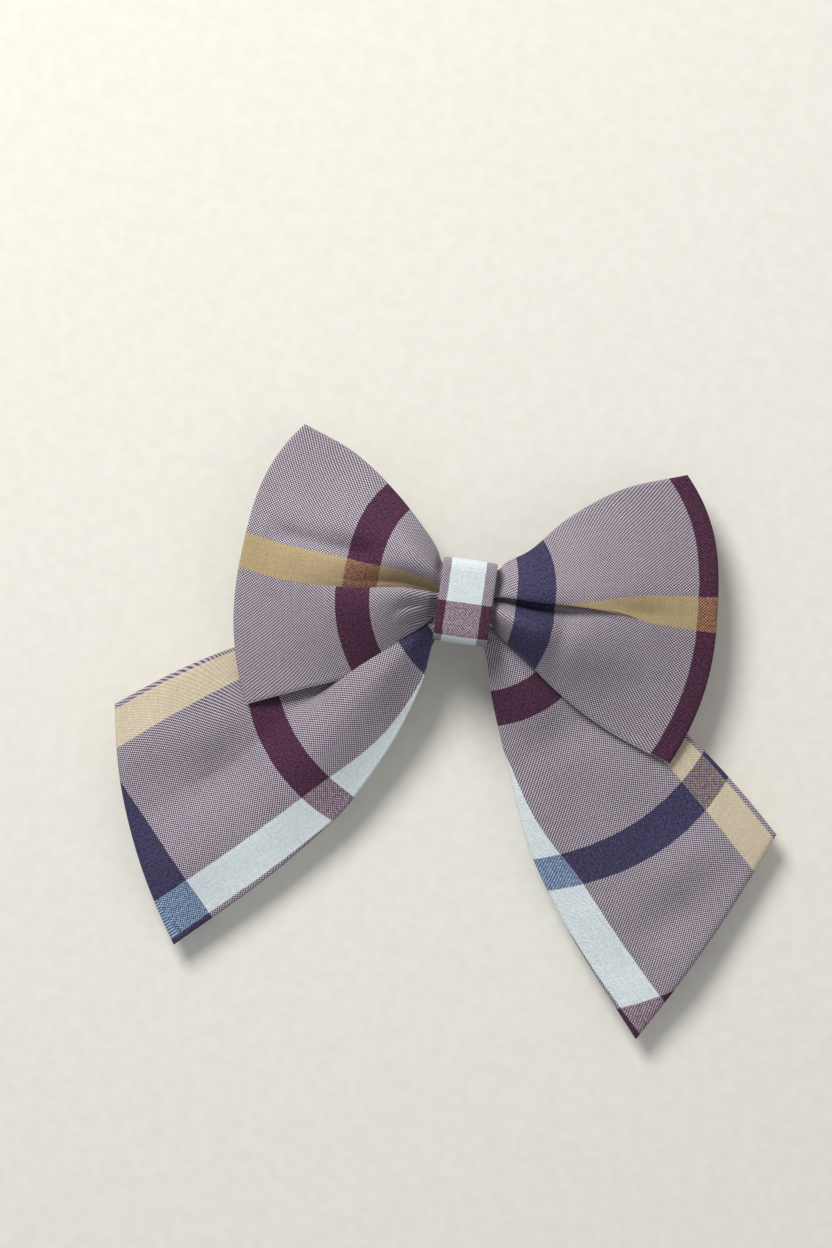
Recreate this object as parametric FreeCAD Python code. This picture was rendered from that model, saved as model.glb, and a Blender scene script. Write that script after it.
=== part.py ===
"""Fabric hair bow on an alligator clip: two padded wings, two hanging tails, a centre band and a spring clip.

Millimetres. +X to the viewer's right, +Z up, the front faces -Y and the hair side faces +Y.
The origin is the middle of the knot on the hair side of the lined upper clip arm.
"""
import FreeCAD
import Part
import math
import os

Vector = FreeCAD.Vector

# ---- cloth ----
CLOTH_HALF = 0.25            # half the thickness of one cloth layer
STIFFENER_HALF = 0.15        # half the thickness of the stiffening layer
RIM_SPACING = 0.8            # distance between the two cloth layers along a seam
SEAM_THREAD_RADIUS = 0.11
RING_POINTS = 8              # points round a thread or wire
THREAD_SIDES = 12            # flat sides of a seam thread
SEAM_INSET = 0.965           # where the seam thread runs, as a share of the way to the rim
SEAM_CORNER = 0.12           # how far from a corner the wing seam starts to turn, as a share

# ---- wings: stations from the knot (0) to the outer edge (1) ----
WING_AT = (0.0, 0.12, 0.28, 0.50, 0.75, 1.0)
LEFT_TOP_X = (0.0, -6.6, -14.0, -23.5, -35.0, -45.1)
LEFT_TOP_Z = (6.2, 7.0, 17.6, 26.3, 33.8, 37.6)
LEFT_LOW_X = (0.0, -6.6, -15.2, -26.0, -38.0, -49.9)
LEFT_LOW_Z = (-1.5, -2.2, -10.8, -22.0, -27.9, -33.0)
RIGHT_TOP_X = (0.0, 6.6, 14.6, 25.8, 38.8, 50.1)
RIGHT_TOP_Z = (6.2, 7.0, 15.2, 26.6, 34.7, 38.3)
RIGHT_LOW_X = (0.0, 6.6, 16.0, 28.2, 41.5, 55.6)
RIGHT_LOW_Z = (-1.5, -2.2, -10.9, -21.0, -27.9, -33.1)
WING_EDGE_Y = (-7.4, -7.2, -6.4, -3.5, -0.5, 1.5)
WING_LOBE = (1.6, 1.8, 5.4, 5.4, 3.4, 1.8)
WING_SPACING = (3.6, 3.6, 4.2, 5.0, 4.2, 2.6)
LEFT_BULGE = 8.8             # how far the outer edge bows out
RIGHT_BULGE = 9.5
BULGE_POWER = 2.6
FOLD_OPENS_FROM = 0.15       # the fold across each wing fades from here
FOLD_OPENS_OVER = 0.55
WING_STIFFENER_REACH = 0.90  # the stiffening layer stops short of the seam

# ---- tails: distances measured from the middle of the knot ----
LEFT_TAIL_ANGLE = 48.0       # degrees from straight down
RIGHT_TAIL_ANGLE = 44.0
LEFT_TAIL_LENGTHS = (85.6, 107.5)     # outer edge, inner edge
RIGHT_TAIL_LENGTHS = (93.0, 113.0)
LEFT_TAIL_WIDTHS = (28.5, 30.2)       # outer half, inner half
RIGHT_TAIL_WIDTHS = (29.0, 30.6)
LEFT_FAN = (42.0, 31.0)               # how slowly each half opens to its full width
RIGHT_FAN = (38.0, 45.0)
FAN_START = 10.4
OUTER_ROOT = 3.2             # half widths where the tails leave the knot
INNER_ROOT = 0.9
TAIL_START = 11.2
WAIST_REACH = 10.7           # the gathered waist ends here, half a millimetre before the tails
FOLD_LINE = -1.0             # where the outer half drops behind the wing
TAIL_STIFFENER_FROM = 0.08
TAIL_STIFFENER_REACH = 0.88
TAIL_SEAM_FROM = 0.03        # the seam runs down each edge, turns at the corners and crosses the cut end
TAIL_SEAM_TURN = 0.86
TAIL_SEAM_END = 0.98
TAIL_SEAM_CORNER = 0.18
TAIL_SEAM_STATIONS = 120
TAIL_SPACING = (2.8, 2.8, 2.8, 2.8, 2.5, 2.3, 2.2, 2.2)
TAIL_ROOT_Y = -6.1           # the tails fall back from the knot towards the head
TAIL_DROP = 11.5
TAIL_DROP_FROM = 7.0
TAIL_DROP_OVER = 22.0
ROLL_AT = (11.0, 15.0, 20.0, 30.0, 45.0, 60.0, 80.0, 115.0)
ROLL_HEIGHT = (1.0, 2.6, 4.6, 6.2, 4.6, 2.6, 1.4, 0.8)

# ---- centre band ----
BAND_WIDTH = 13.3
BAND_THICK = 0.6
BAND_LINING_THICK = 0.4
BAND_LINING_GAP = 0.05
BAND_CORNERS = ((-15.5, 9.7), (-15.2, -10.0), (-2.1, -11.1), (-2.1, 9.7))
BAND_RADIUS = 3.0
STITCH_RADIUS = 0.15
WAIST_THREAD_RADIUS = 0.2
WAIST_OFFSET = -1.0          # the tails leave the knot slightly off their middle line
WAIST_GATE_X = 5.6           # where the gathered waist leaves the band
BOW_WAIST_Y = (-12.6, -4.4)
BOW_WAIST_Z = (-2.5, 7.3)
TAIL_WAIST_Y = (-9.4, -3.8)
TAIL_WAIST_Z = (-9.1, -4.1)
JOIN_Y = (-13.2, -3.75)
JOIN_Z = (-9.1, 7.9)
BOW_THREAD_X = (-1.2, 1.2)
JOIN_X = (2.4, 3.4)
BOW_THREAD_TURNS = 4
JOIN_TURNS = 2
WINDING_STEPS = 16           # points in one turn of wound thread
STITCH_COUNT = 4
STITCH_STEP = 1.1
STITCH_Z = (4.0, 6.0)
WAIST_PLACES = (-1.0, -0.5, 0.0, 0.5, 1.0)     # from the left tail to the right tail
WAIST_Y = (-4.2, -5.8, -6.8, -5.8, -4.2)
WAIST_Z = -6.6
WAIST_HALF_WIDE = (2.3, 2.1, 1.9, 2.1, 2.3)
WAIST_HALF_DEEP = (1.3, 1.6, 2.3, 1.6, 1.3)

# ---- clip ----
ARM_THICK = 0.7
ARM_BACK = -0.4              # hair side of the bare arm
ARM_TIP_X = -27.0
ARM_END_X = 25.0
ARM_WIDE = 8.0
ARM_TIP_WIDE = 6.0
RIBBON_THICK = 0.4
RIBBON_WIDTH = 7.0
RIBBON_END_X = 6.0
PIN_X = 11.0
PIN_Y = 2.2
PIN_RADIUS = 1.0
PIN_HEAD_RADIUS = 1.6
PIN_HEAD_THICK = 0.4
EAR_RADIUS = 1.8
EAR_THICK = 0.6
JAW_EAR_OUTER = 3.2
JAW_HOLE_RADIUS = 1.05
ARM_HOLE_RADIUS = 1.02
JAW_THICK = 0.7
JAW_BASE_Y = 4.6             # inner face of the flat part of the jaw
JAW_WIDTH = 6.4
JAW_TIP_WIDTH = 5.2
JAW_FLAT = (5.0, 13.0)
JAW_TIP = (-26.4, 0.12)
LEVER_END = (25.0, 10.8)
TOOTH_COUNT = 9
TOOTH_DEPTH = 1.0
TOOTH_GAP = 0.1              # between the tooth tips and the lined arm
FLANGE_THICK = 0.5
FLANGE_TO_X = -3.0
COIL_WIRE_RADIUS = 0.4
COIL_INNER_RADIUS = 1.35
COIL_HALF_LENGTH = 1.7
COIL_TURNS = 4
LEG_LENGTH = 8.0
LEG_CLEARANCE = 0.1
GLUE_HALF_X = 5.0
GLUE_HALF_Z = 3.0
GLUE_CORNER = 1.5
RIBBON_FOLD_RADIUS = 0.5
PIN_SHOULDER_GAP = 0.02
PIN_RIM_RADIUS = 0.15


# ======== helpers ========
def along(places, values, at):
    """A smooth curve through the stations, without overshoot."""
    at = min(max(at, places[0]), places[-1])
    last = len(places) - 1
    slopes = []
    for i in range(last + 1):
        if i == 0:
            slopes.append((values[1] - values[0]) / (places[1] - places[0]))
        elif i == last:
            slopes.append((values[last] - values[last - 1]) / (places[last] - places[last - 1]))
        else:
            before = (values[i] - values[i - 1]) / (places[i] - places[i - 1])
            after = (values[i + 1] - values[i]) / (places[i + 1] - places[i])
            same_way = before * after > 0
            slopes.append(2 * before * after / (before + after) if same_way else 0.0)
    span = 0
    while span < last - 1 and at > places[span + 1]:
        span += 1
    width = places[span + 1] - places[span]
    t = (at - places[span]) / width
    start = values[span] * (2 * t ** 3 - 3 * t ** 2 + 1) + slopes[span] * width * (t ** 3 - 2 * t ** 2 + t)
    end = values[span + 1] * (3 * t ** 2 - 2 * t ** 3) + slopes[span + 1] * width * (t ** 3 - t ** 2)
    return start + end


def smooth_step(t):
    t = min(max(t, 0.0), 1.0)
    return t * t * (3 - 2 * t)


def spread(start, end, count):
    return [start + (end - start) * i / (count - 1) for i in range(count)]


def surface_normal(centre, r, c, step=0.002):
    """Unit normal of a surface given as centre(r, c)."""
    across = centre(r + step, c) - centre(r - step, c)
    up = centre(r, c + step) - centre(r, c - step)
    normal = across.cross(up)
    normal.normalize()
    return normal


def thick_sheet(centre, half, rows, columns):
    """A closed solid of even thickness around the surface centre(r, c)."""
    grids = ([], [])
    for r in rows:
        near = []
        far = []
        for c in columns:
            point = centre(r, c)
            push = surface_normal(centre, r, c) * half
            near.append(point + push)
            far.append(point - push)
        grids[0].append(near)
        grids[1].append(far)
    skins = []
    for grid in grids:
        skin = Part.BSplineSurface()
        skin.interpolate(grid)
        skins.append(skin)
    faces = [skin.toShape() for skin in skins]
    u_low, u_high, v_low, v_high = skins[0].bounds()
    low = skins[1].bounds()
    for u_near, u_far in ((u_low, low[0]), (u_high, low[1])):
        faces.append(Part.makeRuledSurface(skins[0].uIso(u_near).toShape(), skins[1].uIso(u_far).toShape()))
    for v_near, v_far in ((v_low, low[2]), (v_high, low[3])):
        faces.append(Part.makeRuledSurface(skins[0].vIso(v_near).toShape(), skins[1].vIso(v_far).toShape()))
    return solid_from(faces)


def solid_from(faces):
    shell = Part.makeShell(faces)
    shell.sewShape()
    shell.fix(1e-4, 1e-4, 1e-4)
    solid = Part.makeSolid(shell)
    solid.fix(1e-4, 1e-4, 1e-4)
    if solid.Volume < 0:
        solid.reverse()
    return solid


def wire_rings(points, radius, stations, count):
    """Rings of points round a smooth open path, turned as little as possible from one to the next."""
    curve = Part.BSplineCurve()
    curve.interpolate(Points=points)
    stations = stations or len(points) * 2
    first, last = curve.FirstParameter, curve.LastParameter
    side = None
    rings = []
    for i in range(stations):
        place = first + (last - first) * i / (stations - 1)
        ahead = Vector(*curve.tangent(place)[0])
        if side is None:
            side = ahead.cross(Vector(0.31, 0.83, 0.46))
        side = side - ahead * side.dot(ahead)
        side.normalize()
        other = ahead.cross(side)
        rings.append(oval_ring(curve.value(place), side * radius, other * radius, count))
    return rings


def round_wire(points, radius, stations=0):
    """A round thread or wire that follows a smooth open path."""
    return closed_tube(wire_rings(points, radius, stations, RING_POINTS))


def flat_sided_thread(points, radius, stations=0):
    """A fine thread with many narrow flat sides that follows a smooth open path."""
    rings = wire_rings(points, radius, stations, THREAD_SIDES)
    edges = []
    for k in range(THREAD_SIDES):
        curve = Part.BSplineCurve()
        curve.interpolate(Points=[ring[k] for ring in rings])
        edges.append(curve.toShape())
    faces = [Part.makeRuledSurface(edges[k - 1], edges[k]) for k in range(THREAD_SIDES)]
    faces += [Part.Face(Part.makePolygon(ring)) for ring in (rings[0], rings[-1])]
    return solid_from(faces)


def oval_ring(centre, wide, deep, count):
    """Points round an oval with half axes wide and deep; the last point repeats the first."""
    ring = []
    for i in range(count + 1):
        angle = 2 * math.pi * (i % count) / count
        ring.append(centre + wide * math.cos(angle) + deep * math.sin(angle))
    return ring


def closed_tube(rings):
    """A solid whose skin passes through the rings, with flat ends."""
    whole = Part.BSplineSurface()
    whole.interpolate(rings)
    u_low, u_high, v_low, v_high = whole.bounds()
    v_middle = (v_low + v_high) / 2
    halves = []
    for v_from, v_to in ((v_low, v_middle), (v_middle, v_high)):
        half = whole.copy()
        half.segment(u_low, u_high, v_from, v_to)
        halves.append(half)
    faces = [half.toShape() for half in halves]
    for place in (u_low, u_high):
        faces.append(Part.Face(Part.Wire([half.uIso(place).toShape() for half in halves])))
    return solid_from(faces)


def box(x_range, y_range, z_range):
    size = [r[1] - r[0] for r in (x_range, y_range, z_range)]
    return Part.makeBox(size[0], size[1], size[2], Vector(x_range[0], y_range[0], z_range[0]))


def prism_xy(corners, z_low, z_high):
    """A flat outline in the XY plane, pulled up along Z."""
    points = [Vector(x, y, z_low) for x, y in corners]
    face = Part.Face(Part.makePolygon(points + points[:1]))
    return face.extrude(Vector(0, 0, z_high - z_low))


def post_z(x, y, radius, z_low, z_high):
    return Part.makeCylinder(radius, z_high - z_low, Vector(x, y, z_low), Vector(0, 0, 1))


# ======== wings ========
def wing_tables(left):
    if left:
        return LEFT_TOP_X, LEFT_TOP_Z, LEFT_LOW_X, LEFT_LOW_Z, LEFT_BULGE
    return RIGHT_TOP_X, RIGHT_TOP_Z, RIGHT_LOW_X, RIGHT_LOW_Z, RIGHT_BULGE


def wing_point(u, v, layer):
    """u runs from the left edge (-1) to the right edge (1), v from the bottom (-1) to the top (1).

    layer is +1 for the front cloth, -1 for the back cloth and 0 for the stiffener.
    """
    left = u < 0
    a = abs(u)
    top_x, top_z, low_x, low_z, bulge = wing_tables(left)
    up = (v + 1) / 2
    side = -1 if left else 1
    x = along(WING_AT, low_x, a) * (1 - up) + along(WING_AT, top_x, a) * up
    x += side * bulge * a ** 1.5 * (1 - abs(v) ** BULGE_POWER)
    z = along(WING_AT, low_z, a) * (1 - up) + along(WING_AT, top_z, a) * up
    open_centre = smooth_step((a - FOLD_OPENS_FROM) / FOLD_OPENS_OVER)
    two_lobes = math.sin(math.pi * v) ** 2
    one_lobe = math.cos(math.pi * v / 2) ** 2
    profile = two_lobes * (1 - open_centre) + one_lobe * open_centre
    lobe = along(WING_AT, WING_LOBE, a) * (0.9 + 0.1 * layer)
    inside = max(0.0, (1 - v ** 4) * (1 - a ** 6))
    spacing = RIM_SPACING + (along(WING_AT, WING_SPACING, a) - RIM_SPACING) * inside
    y = along(WING_AT, WING_EDGE_Y, a) - lobe * profile - layer * spacing / 2
    return Vector(x, y, z)


def wing_rows(reach):
    """Sample places from edge to edge, closer together beside the knot."""
    beside_knot = 0.18
    positive = spread(0.03, 0.15, 5) + spread(beside_knot, reach, 12)
    return [-p for p in reversed(positive)] + [0.0] + positive


def wing_sheet(layer, half, reach):
    rows = wing_rows(reach)
    columns = spread(-reach, reach, 25)
    return thick_sheet(lambda u, v: wing_point(u, v, layer), half, rows, columns)


def rim_places(inset, bend, straight, corner):
    """Places round a rounded square from -1 to 1, used for seams."""
    places = []
    lengths = spread(-inset + bend, inset - bend, straight)
    turns = [math.pi / 2 * i / (corner + 1) for i in range(1, corner + 1)]
    centre = inset - bend
    for quarter in range(4):
        angle = quarter * math.pi / 2
        cosine, sine = round(math.cos(angle)), round(math.sin(angle))
        for s in lengths:
            places.append((inset * cosine - s * sine, inset * sine + s * cosine))
        for turn in turns:
            a = centre + bend * math.cos(turn)
            b = centre + bend * math.sin(turn)
            places.append((a * cosine - b * sine, a * sine + b * cosine))
    return places


def bow_front_panel():
    return wing_sheet(1, CLOTH_HALF, 1.0)


def bow_back_panel():
    return wing_sheet(-1, CLOTH_HALF, 1.0)


def bow_interfacing():
    return wing_sheet(0, STIFFENER_HALF, WING_STIFFENER_REACH)


def bow_seam_thread():
    path = [wing_point(u, v, 0) for u, v in rim_places(SEAM_INSET, SEAM_CORNER, 25, 2)]
    return flat_sided_thread(path, SEAM_THREAD_RADIUS)


# ======== tails ========
def tail_axes(left):
    """Unit vectors along the tail and across it, the second one turns the tail back when used as a hinge."""
    angle = math.radians(LEFT_TAIL_ANGLE if left else RIGHT_TAIL_ANGLE)
    if left:
        return (-math.sin(angle), -math.cos(angle)), (math.cos(angle), -math.sin(angle))
    return (math.sin(angle), -math.cos(angle)), (math.cos(angle), math.sin(angle))


def half_width(s, full, fan, root):
    return math.sqrt(root ** 2 + (full * math.tanh((s - FAN_START) / fan)) ** 2)


def tail_point(r, q, layer, left):
    """r runs from the knot (0) to the cut end (1), q from the outer edge (-1) to the inner edge (1)."""
    lengths = LEFT_TAIL_LENGTHS if left else RIGHT_TAIL_LENGTHS
    widths = LEFT_TAIL_WIDTHS if left else RIGHT_TAIL_WIDTHS
    fan = LEFT_FAN if left else RIGHT_FAN
    end = lengths[0] + (lengths[1] - lengths[0]) * (q + 1) / 2
    s = TAIL_START + (end - TAIL_START) * r
    outer = half_width(s, widths[0], fan[0], OUTER_ROOT)
    inner = half_width(s, widths[1], fan[1], INNER_ROOT)
    blend = smooth_step((q + 1) / 2)
    reach_out = -outer - FOLD_LINE
    reach_in = inner - FOLD_LINE
    w = FOLD_LINE + (-q * reach_out * (1 - blend) + q * reach_in * blend)
    roll = along(ROLL_AT, ROLL_HEIGHT, s) * math.sin(math.pi * q) ** 2 if q > 0 else 0.0
    y_back = TAIL_ROOT_Y + TAIL_DROP * (1 - math.exp(-(s - TAIL_DROP_FROM) / TAIL_DROP_OVER))
    inside = max(0.0, (1 - q ** 4) * (1 - max(0.0, r) ** 8))
    spacing = RIM_SPACING + (along(ROLL_AT, TAIL_SPACING, s) - RIM_SPACING) * inside
    y = y_back - roll - layer * spacing / 2
    axis, cross = tail_axes(left)
    across = w if left else -w
    return Vector(s * axis[0] + across * cross[0], y, s * axis[1] + across * cross[1])


def tail_sheet(left, layer, half, start, reach):
    rows = [start + (reach - start) * (i / 18) ** 1.3 for i in range(19)]
    columns = spread(-reach, reach, 21)
    return thick_sheet(lambda r, q: tail_point(r, q, layer, left), half, rows, columns)


def tail_seam_corner(turn, side):
    """A place on the turn between an edge (side -1 or 1) and the cut end; turn runs from 0 to 1."""
    bend = math.pi / 2 * turn
    r = TAIL_SEAM_TURN + (TAIL_SEAM_END - TAIL_SEAM_TURN) * math.sin(bend)
    return r, side * (SEAM_INSET - TAIL_SEAM_CORNER * (1 - math.cos(bend)))


def tail_seam_thread(left):
    """Runs down the outer edge, along the cut end and back up the inner edge."""
    down = spread(TAIL_SEAM_FROM, TAIL_SEAM_TURN, 24)
    turns = (0.25, 0.5, 0.75)
    places = [(r, -SEAM_INSET) for r in down]
    places += [tail_seam_corner(turn, -1) for turn in turns]
    reach = SEAM_INSET - TAIL_SEAM_CORNER
    places += [(TAIL_SEAM_END, q) for q in spread(-reach, reach, 16)]
    places += [tail_seam_corner(turn, 1) for turn in reversed(turns)]
    places += [(r, SEAM_INSET) for r in reversed(down)]
    path = [tail_point(r, q, 0, left) for r, q in places]
    return flat_sided_thread(path, SEAM_THREAD_RADIUS, TAIL_SEAM_STATIONS)


# ======== knot ========
def rounded_loop(shrink):
    """The outline of the band seen from its side, made smaller by the given amount."""
    corners = [Vector(-BAND_WIDTH / 2, y, z) for y, z in BAND_CORNERS]
    block = Part.Face(Part.makePolygon(corners + corners[:1])).extrude(Vector(BAND_WIDTH, 0, 0))
    along_x = [e for e in block.Edges if abs(abs(e.tangentAt(e.FirstParameter).x) - 1) < 1e-6]
    block = block.makeFillet(BAND_RADIUS, along_x)
    side = [f for f in block.Faces if abs(f.CenterOfMass.x + BAND_WIDTH / 2) < 1e-6][0]
    wire = side.OuterWire
    return wire.makeOffset2D(-shrink) if shrink > 0 else wire


def loop_between(outer_shrink, inner_shrink):
    outer = Part.Face(rounded_loop(outer_shrink)).extrude(Vector(BAND_WIDTH, 0, 0))
    inner = Part.Face(rounded_loop(inner_shrink)).extrude(Vector(BAND_WIDTH, 0, 0))
    return outer.cut(inner).Solids[0]


def centre_band():
    return loop_between(0.0, BAND_THICK)


def centre_band_lining():
    start = BAND_THICK + BAND_LINING_GAP
    return loop_between(start, start + BAND_LINING_THICK)


def band_stitches():
    """Short stitches that close the band on the hair side, joined by the thread that runs between them."""
    back = BAND_CORNERS[2][0] + STITCH_RADIUS
    path = []
    for i in range(STITCH_COUNT):
        x = STITCH_STEP * (i - (STITCH_COUNT - 1) / 2)
        start, end = STITCH_Z if i % 2 == 0 else reversed(STITCH_Z)
        for share in (0.0, 0.5, 1.0):
            path.append(Vector(x + STITCH_STEP * 0.3 * share, back, start + (end - start) * share))
    return round_wire(path, STITCH_RADIUS)


def wound_thread(y_range, z_range, x_range, turns, corner_power=4):
    """Thread wound round a gathered waist along a rounded oblong coil."""
    y_mid, z_mid = sum(y_range) / 2, sum(z_range) / 2
    y_half, z_half = (y_range[1] - y_range[0]) / 2, (z_range[1] - z_range[0]) / 2
    path = []
    count = turns * WINDING_STEPS
    for i in range(count + 1):
        angle = 2 * math.pi * i / WINDING_STEPS
        c, s = math.cos(angle), math.sin(angle)
        squareness = (abs(c) ** corner_power + abs(s) ** corner_power) ** (-1 / corner_power)
        x = x_range[0] + (x_range[1] - x_range[0]) * i / count
        path.append(Vector(x, y_mid + y_half * squareness * c, z_mid + z_half * squareness * s))
    return round_wire(path, WAIST_THREAD_RADIUS)


def bow_waist_thread():
    return wound_thread(BOW_WAIST_Y, BOW_WAIST_Z, BOW_THREAD_X, BOW_THREAD_TURNS)


def tail_waist_thread():
    return wound_thread(TAIL_WAIST_Y, TAIL_WAIST_Z, BOW_THREAD_X, BOW_THREAD_TURNS, corner_power=2)


def joining_thread():
    return wound_thread(JOIN_Y, JOIN_Z, JOIN_X, JOIN_TURNS)


def tail_waist():
    """The gathered middle of the tail strip, where it runs through the band."""
    ends = []
    for left in (True, False):
        axis, cross = tail_axes(left)
        middle = WAIST_OFFSET if left else -WAIST_OFFSET
        x, z = (WAIST_REACH * axis[k] + middle * cross[k] for k in (0, 1))
        ends.append((x, z, cross))
    (left_x, left_z, left_cross), (right_x, right_z, right_cross) = ends
    centre_x = (left_x, -WAIST_GATE_X, 0.0, WAIST_GATE_X, right_x)
    centre_z = (left_z, WAIST_Z, WAIST_Z, WAIST_Z, right_z)
    lean = (left_cross[0], 0.0, 0.0, 0.0, -right_cross[0])
    rings = []
    for t in spread(-1.0, 1.0, 21):
        x, y, z, tilt, half_wide, half_deep = [
            along(WAIST_PLACES, table, t)
            for table in (centre_x, WAIST_Y, centre_z, lean, WAIST_HALF_WIDE, WAIST_HALF_DEEP)
        ]
        wide = Vector(tilt, 0, -math.sqrt(1 - tilt * tilt)) * half_wide
        rings.append(oval_ring(Vector(x, y, z), wide, Vector(0, half_deep, 0), 12))
    return closed_tube(rings)


def glue_pad():
    """A flattened bead of set glue between the band and the lined arm."""
    front = BAND_CORNERS[2][0]
    back = ARM_BACK - ARM_THICK - RIBBON_THICK
    pad = box((-GLUE_HALF_X, GLUE_HALF_X), (front, back), (-GLUE_HALF_Z, GLUE_HALF_Z))
    upright = [e for e in pad.Edges if abs(abs(e.tangentAt(e.FirstParameter).y) - 1) < 1e-6]
    return pad.makeFillet(GLUE_CORNER, upright)


# ======== clip ========
def arm_outline(tip_x, end_x, wide, tip_wide):
    """The arm seen from the hair side: tapered strip with rounded ends."""
    straight_from = tip_x + tip_wide / 2
    round_end = end_x - wide / 2
    tip_corners = [Vector(straight_from, 0, side * tip_wide / 2) for side in (-1, 1)]
    tip = Part.Arc(tip_corners[0], Vector(tip_x, 0, 0), tip_corners[1])
    end = Part.Arc(Vector(round_end, 0, wide / 2), Vector(end_x, 0, 0), Vector(round_end, 0, -wide / 2))
    top = Part.makeLine(Vector(straight_from, 0, tip_wide / 2), Vector(round_end, 0, wide / 2))
    low = Part.makeLine(Vector(round_end, 0, -wide / 2), Vector(straight_from, 0, -tip_wide / 2))
    return Part.Wire([tip.toShape(), top, end.toShape(), low])


def ear(outer_z, thick, y_from, side, hole_radius):
    """A rounded lug that carries the pin, standing on a strip edge."""
    z_low = outer_z - thick if side > 0 else -outer_z
    z_high = z_low + thick
    y_low, y_high = min(y_from, PIN_Y), max(y_from, PIN_Y)
    lug = box((PIN_X - EAR_RADIUS, PIN_X + EAR_RADIUS), (y_low, y_high), (z_low, z_high))
    lug = lug.fuse(post_z(PIN_X, PIN_Y, EAR_RADIUS, z_low, z_high))
    return lug.cut(post_z(PIN_X, PIN_Y, hole_radius, z_low - 1, z_high + 1))


def clip_upper_arm():
    outline = arm_outline(ARM_TIP_X, ARM_END_X, ARM_WIDE, ARM_TIP_WIDE)
    outline.translate(Vector(0, ARM_BACK - ARM_THICK, 0))
    arm = Part.Face(outline).extrude(Vector(0, ARM_THICK, 0))
    for side in (-1, 1):
        arm = arm.fuse(ear(ARM_WIDE / 2, EAR_THICK, ARM_BACK - ARM_THICK, side, ARM_HOLE_RADIUS))
    return arm.removeSplitter()


def clip_ribbon_lining():
    """Ribbon folded round the tip of the arm, one layer on each face."""
    outer = strip_side(RIBBON_THICK)
    inner = strip_side(0.0)
    return outer.cut(inner)


def strip_side(grow):
    """The arm thickened on both faces and past its tip, as wide as the ribbon."""
    y_low = ARM_BACK - ARM_THICK - grow
    y_high = ARM_BACK + grow
    end = RIBBON_END_X if grow > 0 else RIBBON_END_X + 1
    tip = ARM_TIP_X - grow
    slab = box((tip, end), (y_low, y_high), (-RIBBON_WIDTH / 2, RIBBON_WIDTH / 2))
    at_tip = [e for e in slab.Edges if abs(e.CenterOfMass.x - tip) < 1e-6 and abs(e.CenterOfMass.z) < 1e-6]
    return slab.makeFillet(RIBBON_FOLD_RADIUS, at_tip) if grow > 0 else slab


def clip_hinge_pin():
    """A straight pin with a flattened head outside each lug of the arm."""
    shoulder = ARM_WIDE / 2 + PIN_SHOULDER_GAP
    pin = post_z(PIN_X, PIN_Y, PIN_RADIUS, -shoulder, shoulder)
    outer = shoulder + PIN_HEAD_THICK
    for start, rim_z in ((shoulder, outer), (-outer, -outer)):
        head = post_z(PIN_X, PIN_Y, PIN_HEAD_RADIUS, start, start + PIN_HEAD_THICK)
        rim = [e for e in head.Edges if e.Closed and abs(e.CenterOfMass.z - rim_z) < 1e-6]
        pin = pin.fuse(head.makeFillet(PIN_RIM_RADIUS, rim))
    return pin.removeSplitter()


def clip_spring():
    """Coil round the pin with one leg on the arm and one inside the lever."""
    radius = COIL_INNER_RADIUS + COIL_WIRE_RADIUS
    steps = 12
    total = 2 * math.pi * (COIL_TURNS - 0.5)
    count = int(total / (2 * math.pi) * steps)
    path = []
    for share in (1.0, 0.66, 0.33):
        path.append(Vector(PIN_X + LEG_LENGTH * share, PIN_Y - radius, -COIL_HALF_LENGTH))
    for i in range(count + 1):
        angle = -math.pi / 2 - total * i / count
        z = -COIL_HALF_LENGTH + 2 * COIL_HALF_LENGTH * i / count
        path.append(Vector(PIN_X + radius * math.cos(angle), PIN_Y + radius * math.sin(angle), z))
    lever_slope = math.atan2(LEVER_END[1] - JAW_BASE_Y, LEVER_END[0] - JAW_FLAT[1])
    under = COIL_WIRE_RADIUS + LEG_CLEARANCE
    bend_x = JAW_FLAT[1] + under * math.sin(lever_slope)
    bend_y = JAW_BASE_Y - under * math.cos(lever_slope)
    path.append(Vector(bend_x - 1.0, PIN_Y + radius, COIL_HALF_LENGTH))
    for run in (0.8, 3.0, LEG_LENGTH - 1.5):
        rise = run * math.sin(lever_slope)
        path.append(Vector(bend_x + run * math.cos(lever_slope), bend_y + rise, COIL_HALF_LENGTH))
    return round_wire(path, COIL_WIRE_RADIUS)


def jaw_side():
    """The jaw seen from below: toothed strip, flat by the pin, then the raised lever."""
    inner = [JAW_TIP, (JAW_FLAT[0], JAW_BASE_Y), (JAW_FLAT[1], JAW_BASE_Y), LEVER_END]
    slopes = []
    for (x1, y1), (x2, y2) in zip(inner, inner[1:]):
        slopes.append(math.atan2(y2 - y1, x2 - x1))
    outer = []
    for i, (x, y) in enumerate(inner):
        before = slopes[max(i - 1, 0)]
        after = slopes[min(i, len(slopes) - 1)]
        mean = (before + after) / 2
        reach = JAW_THICK / math.cos((after - before) / 2)
        outer.append((x - reach * math.sin(mean), y + reach * math.cos(mean)))
    return inner, outer


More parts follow.
